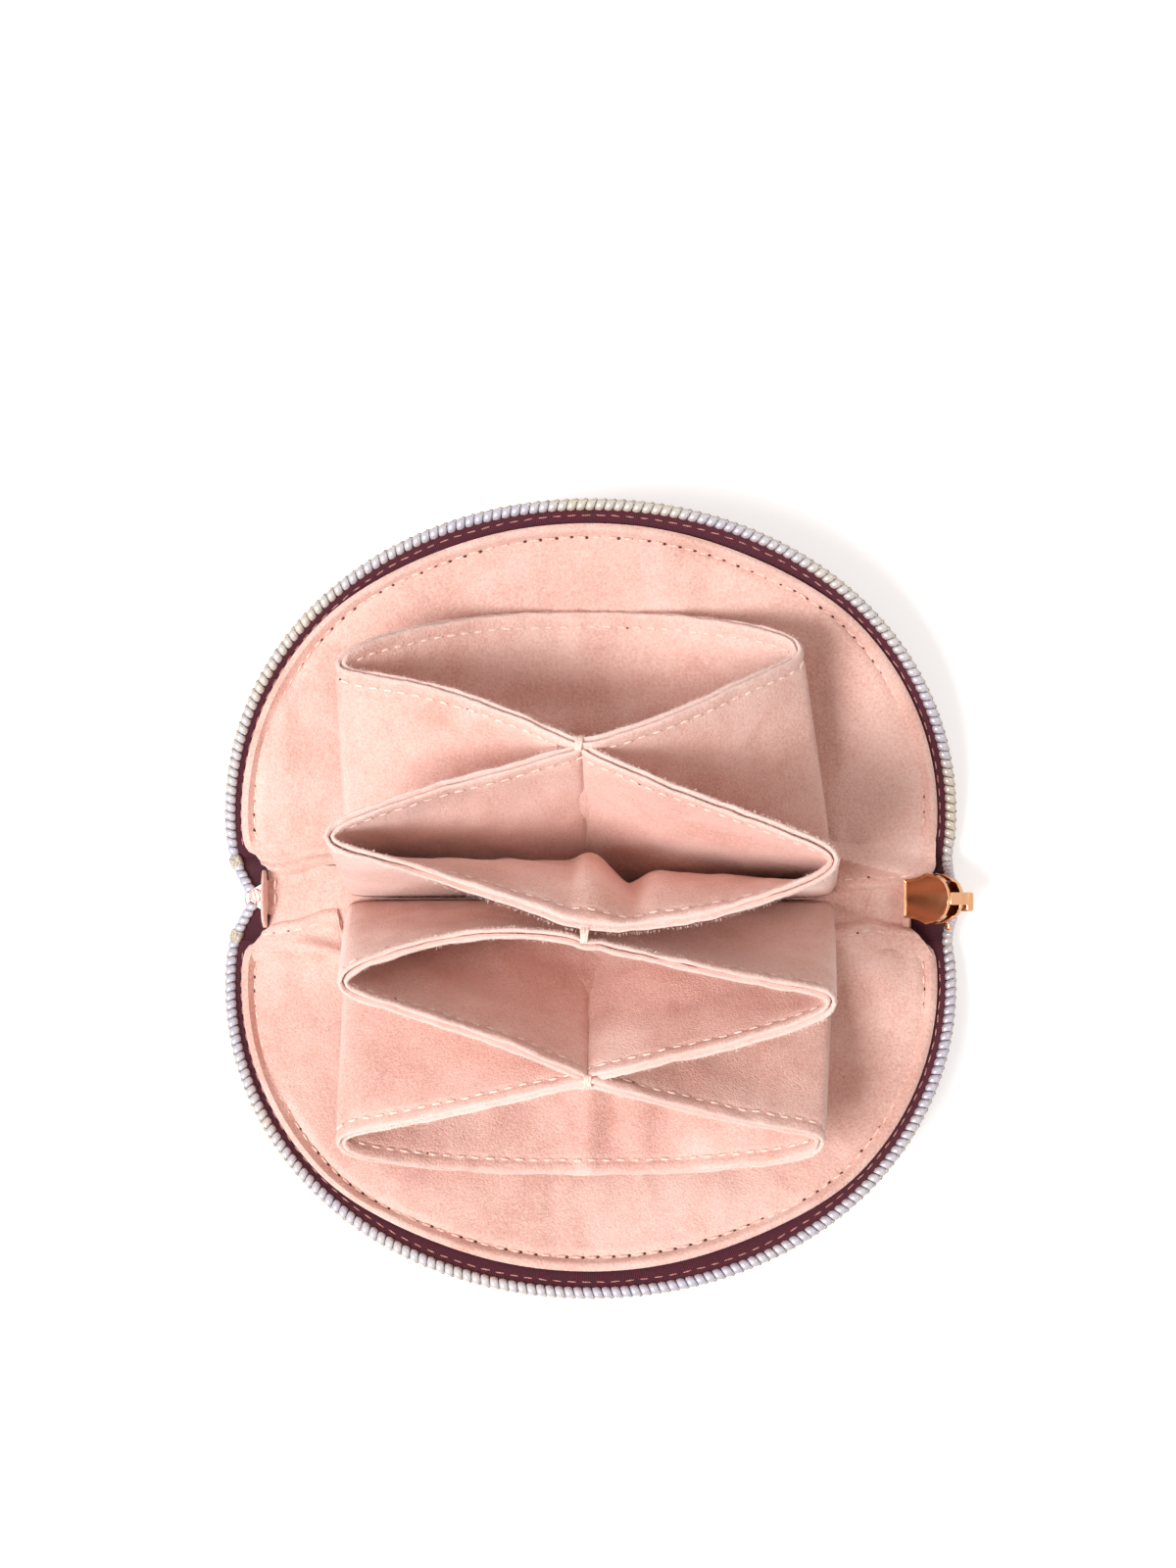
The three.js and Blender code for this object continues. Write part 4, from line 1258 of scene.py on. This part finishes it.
def webPoint(face, x, t):
    # from the web's rolled edge over the hinge and up the side; d is the way from that edge
    edge = fromStations(spine["webEdge"][face], x)
    far = onSide(face, x, spine["webReach"], 0.25)
    y = mix(edge, abs(far.y), t)
    d = y - edge
    climb = ease((y - 5.8) / (abs(far.y) - 5.8))
    z = mix(spine["top"] + 0.75, far.z, climb)
    z += 0.22 * bump((d - 1.2) / 0.8) - 0.75 * (1 - min(1.0, d / 0.8)) ** 2
    z -= 0.28 * bump((d - 2.4) / 0.5) * ease((abs(x) - 46) / 3)
    rumple = 0.35 * wave(x, y, 7, face * 6.0)
    rumple += 0.7 * bump((abs(x) - 50) / 4) * wave(x * 0.6, y * 1.8, 3.4, face)
    z += rumple * ease(d / 3) * (1 - climb * 0.5) - 0.5 * ease((t - 0.8) / 0.2)
    if face < 0:
        # a deep pucker at the front left, and a ridge at the front right
        off = y - 9.4 - (x + 54) * 0.27
        z += 2.1 * ease((off + 2.6) / 2) * (1 - ease(off / 0.5)) * bump((x + 50.5) / 4)
        z += 1.1 * ease((x - 44) / 3) * ease(d / 1.2) * (1 - ease((d - 1.6) / 4))
    elif x < -42:
        z += 0.9 * ease(d / 0.8) * (1 - ease((d - 1.2) / 4))
    else:
        # the padded corner stands over the web's stitched edge
        lip = y - mix(7.4, 2.6, clamp((x - 46.5) / 13))
        stand = 2.6 * ease(lip / 0.8) * (1 - ease((lip - 0.9) / 5)) - 0.6 * bump((lip + 0.5) / 0.8)
        z += stand * ease((x - 42) / 3)
    ends = fromStations(spine["webEdge"][face], math.copysign(61, x))
    corner = 5.0 if face > 0 and x > 0 else 9.0
    rounding = 1 - (1 - clamp((y - ends) / corner)) ** 2
    x += math.copysign(spine["cornerOut"] * rounding * ease((abs(x) - 48) / 12), x)
    return Vector((x, face * y, z))


def addWeb(face, word):
    half = spine["webHalfLength"]

    def place(s, t):
        return webPoint(face, mix(-half, half, s), t) * mm

    web = sheetPiece(f"{word}_suede_web", *spine["webSteps"], place, spine["webThickness"])
    hinge = hingeBlend(face, word, 4.5, 10.5, 5)
    finishPiece(web, hinge, "suede", look["lining"])
    for number, (start, stop) in enumerate(spine["webStitched"][face], 1):
        run = []
        for i in range(41):
            x = mix(start, stop, i / 40)
            edge = fromStations(spine["webEdge"][face], x)
            wide = abs(onSide(face, x, spine["webReach"], 0.25).y) - edge
            run.append((webPoint(face, x, spine["webSeam"] / wide), up))
        addStitches(f"{word}_web_stitches_{number}", run, spine["stitch"], hinge, "thread",
                    look["thread"], holes=0.3)


def addEndStitches():
    settings = spine["endStitch"]
    run = []
    for i in range(21):
        x, y = settings["x"], mix(settings["from"], settings["to"], i / 20)
        run.append((Vector((x, y, spineTop(x, y))), up))
    addStitches("left_end_stitches", run, settings, "base", "thread", look["thread"])


addSpineStrip()
addEndStitches()
for hand, word in hands:
    addEndRoll(hand, word)
for face, word in sides:
    addWeb(face, word)
print("spine made")


# leather outside of each side and of the spine
shellLeather = {
    "inset": 0.9,
    "low": 0.8,
    "corner": 4.0,
    "top": -2.45,
    "thickness": 1.35,
    "edgeTurn": 0.9,          # how far the turned edge stands up towards the tape
    "ringGrading": 1.4,
    "steps": 240,
    "rings": 24,
    "stitchInset": 3.2,
    "stitch": {"pitch": 2.8, "length": 2.0, "width": 0.45, "rise": 0.05},
    "web": {"halfLength": 58.5, "near": (4.2, 0.05), "reach": 5.0, "below": 0.12, "thickness": 0.9},
}


def leatherInset(face):
    def inset(angle):
        # at the front left the rim rolls outwards, past the coil
        turned = bump((math.degrees(angle) - 182) / 15) if face < 0 else 0.0
        return shellLeather["inset"] - 2.2 * turned
    return inset


def addShellLeather(face, word):
    settings = shellLeather
    bottom = settings["top"] - settings["thickness"]
    outline = panelOutline(leatherInset(face), settings["low"], settings["corner"], settings["steps"])

    def level(u, v, fromEdge):
        turned = settings["edgeTurn"] * (1 - min(1.0, fromEdge / 1.6)) ** 2
        return bottom + turned + 0.12 * wave(u, v, 20, face)

    def place(s, t):
        u, v, fromEdge = panelPoint(outline, s, t ** settings["ringGrading"])
        return onSide(face, u, v, level(u, v, fromEdge)) * mm

    piece = sheetPiece(f"{word}_leather_panel", settings["steps"], settings["rings"], place,
                       settings["thickness"], facing=-1)
    addBevel(piece, 0.35 * mm, 2, 60)
    applyAll(piece)
    smooth(piece, 50)
    finishPiece(piece, f"{word}_shell", "leather", look["leather"], f"{word}_leather")
    run = seamRun(face, outline, settings["stitchInset"], level, -math.inf, -1)
    addStitches(f"{word}_leather_stitches", run, settings["stitch"], f"{word}_shell", "leather",
                look["leatherThread"])

    web = settings["web"]
    nearY, nearZ = web["near"]

    def webPlace(s, t):
        x = mix(-web["halfLength"], web["halfLength"], s)
        far = onSide(face, x, web["reach"], bottom - web["below"])
        at = Vector((x, face * nearY, nearZ)).lerp(far, t)
        at.z += 0.25 * math.sin(math.pi * t) + 0.06 * wave(x, t * 8, 9, face)
        return at * mm

    piece = sheetPiece(f"{word}_leather_web", 160, 10, webPlace, web["thickness"], facing=-1)
    finishPiece(piece, hingeBlend(face, word, 4.5, 11, 3), "leather", look["leather"])


spineLeather = {"halfLength": 60.2, "halfWidth": 6.4, "endHalfWidth": 4.4, "level": 0.02, "curl": 0.35,
                "thickness": 1.3}


def addSpineLeather():
    half = spineLeather["halfLength"]

    def place(s, t):
        x = mix(-half, half, s)
        narrowed = ease((abs(x) - 48) / 12)
        y = (2 * t - 1) * mix(spineLeather["halfWidth"], spineLeather["endHalfWidth"], narrowed)
        return Vector((x, y, spineLeather["level"] + spineLeather["curl"] * (abs(y) / 6.5) ** 4)) * mm

    piece = sheetPiece("spine_leather", 200, 20, place, spineLeather["thickness"], facing=-1)
    finishPiece(piece, "base", "leather", look["leather"], "base_leather")


for face, word in sides:
    addShellLeather(face, word)
addSpineLeather()
print("leather made")


# plated slider: its inner plate has a raised rim; a flat bar crosses the mouth and ends in a block,
# and the pull's shoulder shows beside it; a place is given in mm along from tail to mouth, across,
# and out from the plates' middle
slider = {
    "centre": (65.5, 0, 11),
    "lean": 51.6,
    "plated": [("plated_slider", "slider", "zip_slider", 0.16),      # piece, body, node and bevel
               ("plated_pull", "pull", "pull_tab", 0.2)],
    "plateTop": 2.3,
    "rim": 0.5,
    "dish": 0.42,
    "blocks": [
        {"name": "slider_mouth_bar", "body": "slider", "at": (5.0, 0.0, -0.9), "size": (1.7, 2.4, 5.0),
         "round": 0.3},
        {"name": "slider_crown_block", "body": "slider", "at": (4.7, -0.6, -4.1),
         "size": (2.2, 3.6, 1.9), "round": 0.45},
        {"name": "pull_shoulder", "body": "pull", "at": (0.35, -4.6, -3.95), "size": (1.6, 3.0, 1.5),
         "round": 0.7},
    ],
}


def sliderFrame():
    lean = math.radians(slider["lean"])
    along = Vector((math.cos(lean), 0, math.sin(lean)))
    outward = Vector((-math.sin(lean), 0, math.cos(lean)))
    return Vector(slider["centre"]), along, outward


def dishPlate(piece):
    # sinks the inner plate's face inside a narrow rim
    centre, _, outward = sliderFrame()
    freshSelection(piece)
    bpy.ops.object.mode_set(mode="EDIT")
    bpy.ops.mesh.select_all(action="DESELECT")
    bpy.ops.object.mode_set(mode="OBJECT")
    for face in piece.data.polygons:
        level = (face.center / mm - centre).dot(outward)
        face.select = level > slider["plateTop"] - 0.05
    bpy.ops.object.mode_set(mode="EDIT")
    bpy.ops.mesh.select_mode(type="FACE")
    bpy.ops.mesh.inset(thickness=slider["rim"] * mm, depth=-slider["dish"] * mm)
    bpy.ops.mesh.select_mode(type="VERT")
    bpy.ops.object.mode_set(mode="OBJECT")


def addSliderBlock(part):
    # a small block laid in the slider's own frame, with rounded edges
    centre, along, outward = sliderFrame()
    block = newCube(part["name"])
    for point in block.data.vertices:
        a, y, n = (c * size + at for c, size, at in zip(point.co, part["size"], part["at"]))
        point.co = (centre + along * a + Vector((0, y, 0)) + outward * n) * mm
    addBevel(block, part["round"] * mm, 4)
    applyAll(block)
    faceOutwards(block)
    smooth(block, 40)
    finishPiece(block, part["body"], "zip_gold", look["gold"])


def bevelledCopy(name, node, width, segments):
    # the node's own solid with its edges rounded
    freshSelection()
    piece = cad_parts[node].copy()
    piece.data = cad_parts[node].data.copy()
    piece.name = name
    piece.parent = None
    for key in list(piece.keys()):
        del piece[key]
    bpy.context.scene.collection.objects.link(piece)
    editAll(piece, (bpy.ops.mesh.remove_doubles, {"threshold": 0.000002}),
            (bpy.ops.mesh.dissolve_limited, {"angle_limit": math.radians(4)}))
    if node == "zip_slider":
        dishPlate(piece)
    addBevel(piece, width * mm, segments, 40)
    weighed = piece.modifiers.new("weighed", "WEIGHTED_NORMAL")
    weighed.keep_sharp = True
    smooth(piece)
    applyAll(piece)
    return piece


for name, body, node, bevel in slider["plated"]:
    finishPiece(bevelledCopy(name, node, bevel, 3), body, "zip_gold", look["gold"], node)
for part in slider["blocks"]:
    addSliderBlock(part)
print("slider made")


# the stiffening boards stay the part's own solids
for name in ("base_board", "rear_board", "front_board"):
    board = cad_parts[name].data
    board.materials.clear()
    board.materials.append(look["board"])
print("boards coloured")


# plain pale floor and soft studio light
studio = {
    "floor": 1.6,
    "floorLevel": -0.0002,
    "floorColour": "f6f6f6",
    "worldStrength": 0.47,
    "worldColour": "fff0e9",
    "lights": {
        "key": {"at": (-0.46, -0.26, 0.76), "power": 8.4, "size": 0.36},
        "fill": {"at": (0.5, 0.35, 0.6), "power": 0.7, "size": 0.5},
    },
}


def addFloor():
    # plain paper that shows lighter to the camera than it lights the case
    freshSelection()
    bpy.ops.mesh.primitive_plane_add(size=studio["floor"], location=(0, 0, studio["floorLevel"]))
    floor = bpy.context.object
    floor.name = "floor"
    material, shader, _ = newMaterial("matt_paper")
    shader.inputs["Base Color"].default_value = rgb(studio["floorColour"])
    shader.inputs["Roughness"].default_value = 0.9
    shader.inputs["Specular IOR Level"].default_value = 0.0
    shader.inputs["Emission Color"].default_value = (1, 1, 1, 1)
    path = addNode(material, "ShaderNodeLightPath")
    glow = addNode(material, "ShaderNodeMath", {
        "operation": "MULTIPLY", 1: 0.5, 0: (path, "Is Camera Ray")
    })
    linkTo(shader, "Emission Strength", glow, "Value")
    floor.data.materials.append(material)


def addLight(name, settings):
    data = bpy.data.lights.new(name, "AREA")
    data.energy = settings["power"]
    data.size = settings["size"]
    lamp = bpy.data.objects.new(name, data)
    lamp.location = settings["at"]
    lamp.rotation_euler = (-Vector(settings["at"])).to_track_quat("-Z", "Y").to_euler()
    bpy.context.scene.collection.objects.link(lamp)


def addWorld():
    # white where the camera or a gleam sees it, and dimmer and warmer where it lights the case
    world = bpy.data.worlds.new("studio")
    bpy.context.scene.world = world
    world.use_nodes = True
    background = world.node_tree.nodes["Background"]
    path = addNode(world, "ShaderNodeLightPath")
    seen = addNode(world, "ShaderNodeMath", {
        "operation": "MAXIMUM", 0: (path, "Is Camera Ray"), 1: (path, "Is Glossy Ray")
    })
    strength = addNode(world, "ShaderNodeMapRange", {
        "To Min": studio["worldStrength"], "To Max": 1.0, "Value": (seen, "Value")
    })
    linkTo(background, "Strength", strength, "Result")
    tint = addNode(world, "ShaderNodeValToRGB", {
        "stops": [(0, rgb(studio["worldColour"])), (1, (1, 1, 1, 1))], "Fac": (seen, "Value")
    })
    linkTo(background, "Color", tint, "Color")


addFloor()
addWorld()
for name, settings in studio["lights"].items():
    addLight(name, settings)
bpy.context.scene.view_settings.view_transform = "Standard"
print("studio made")
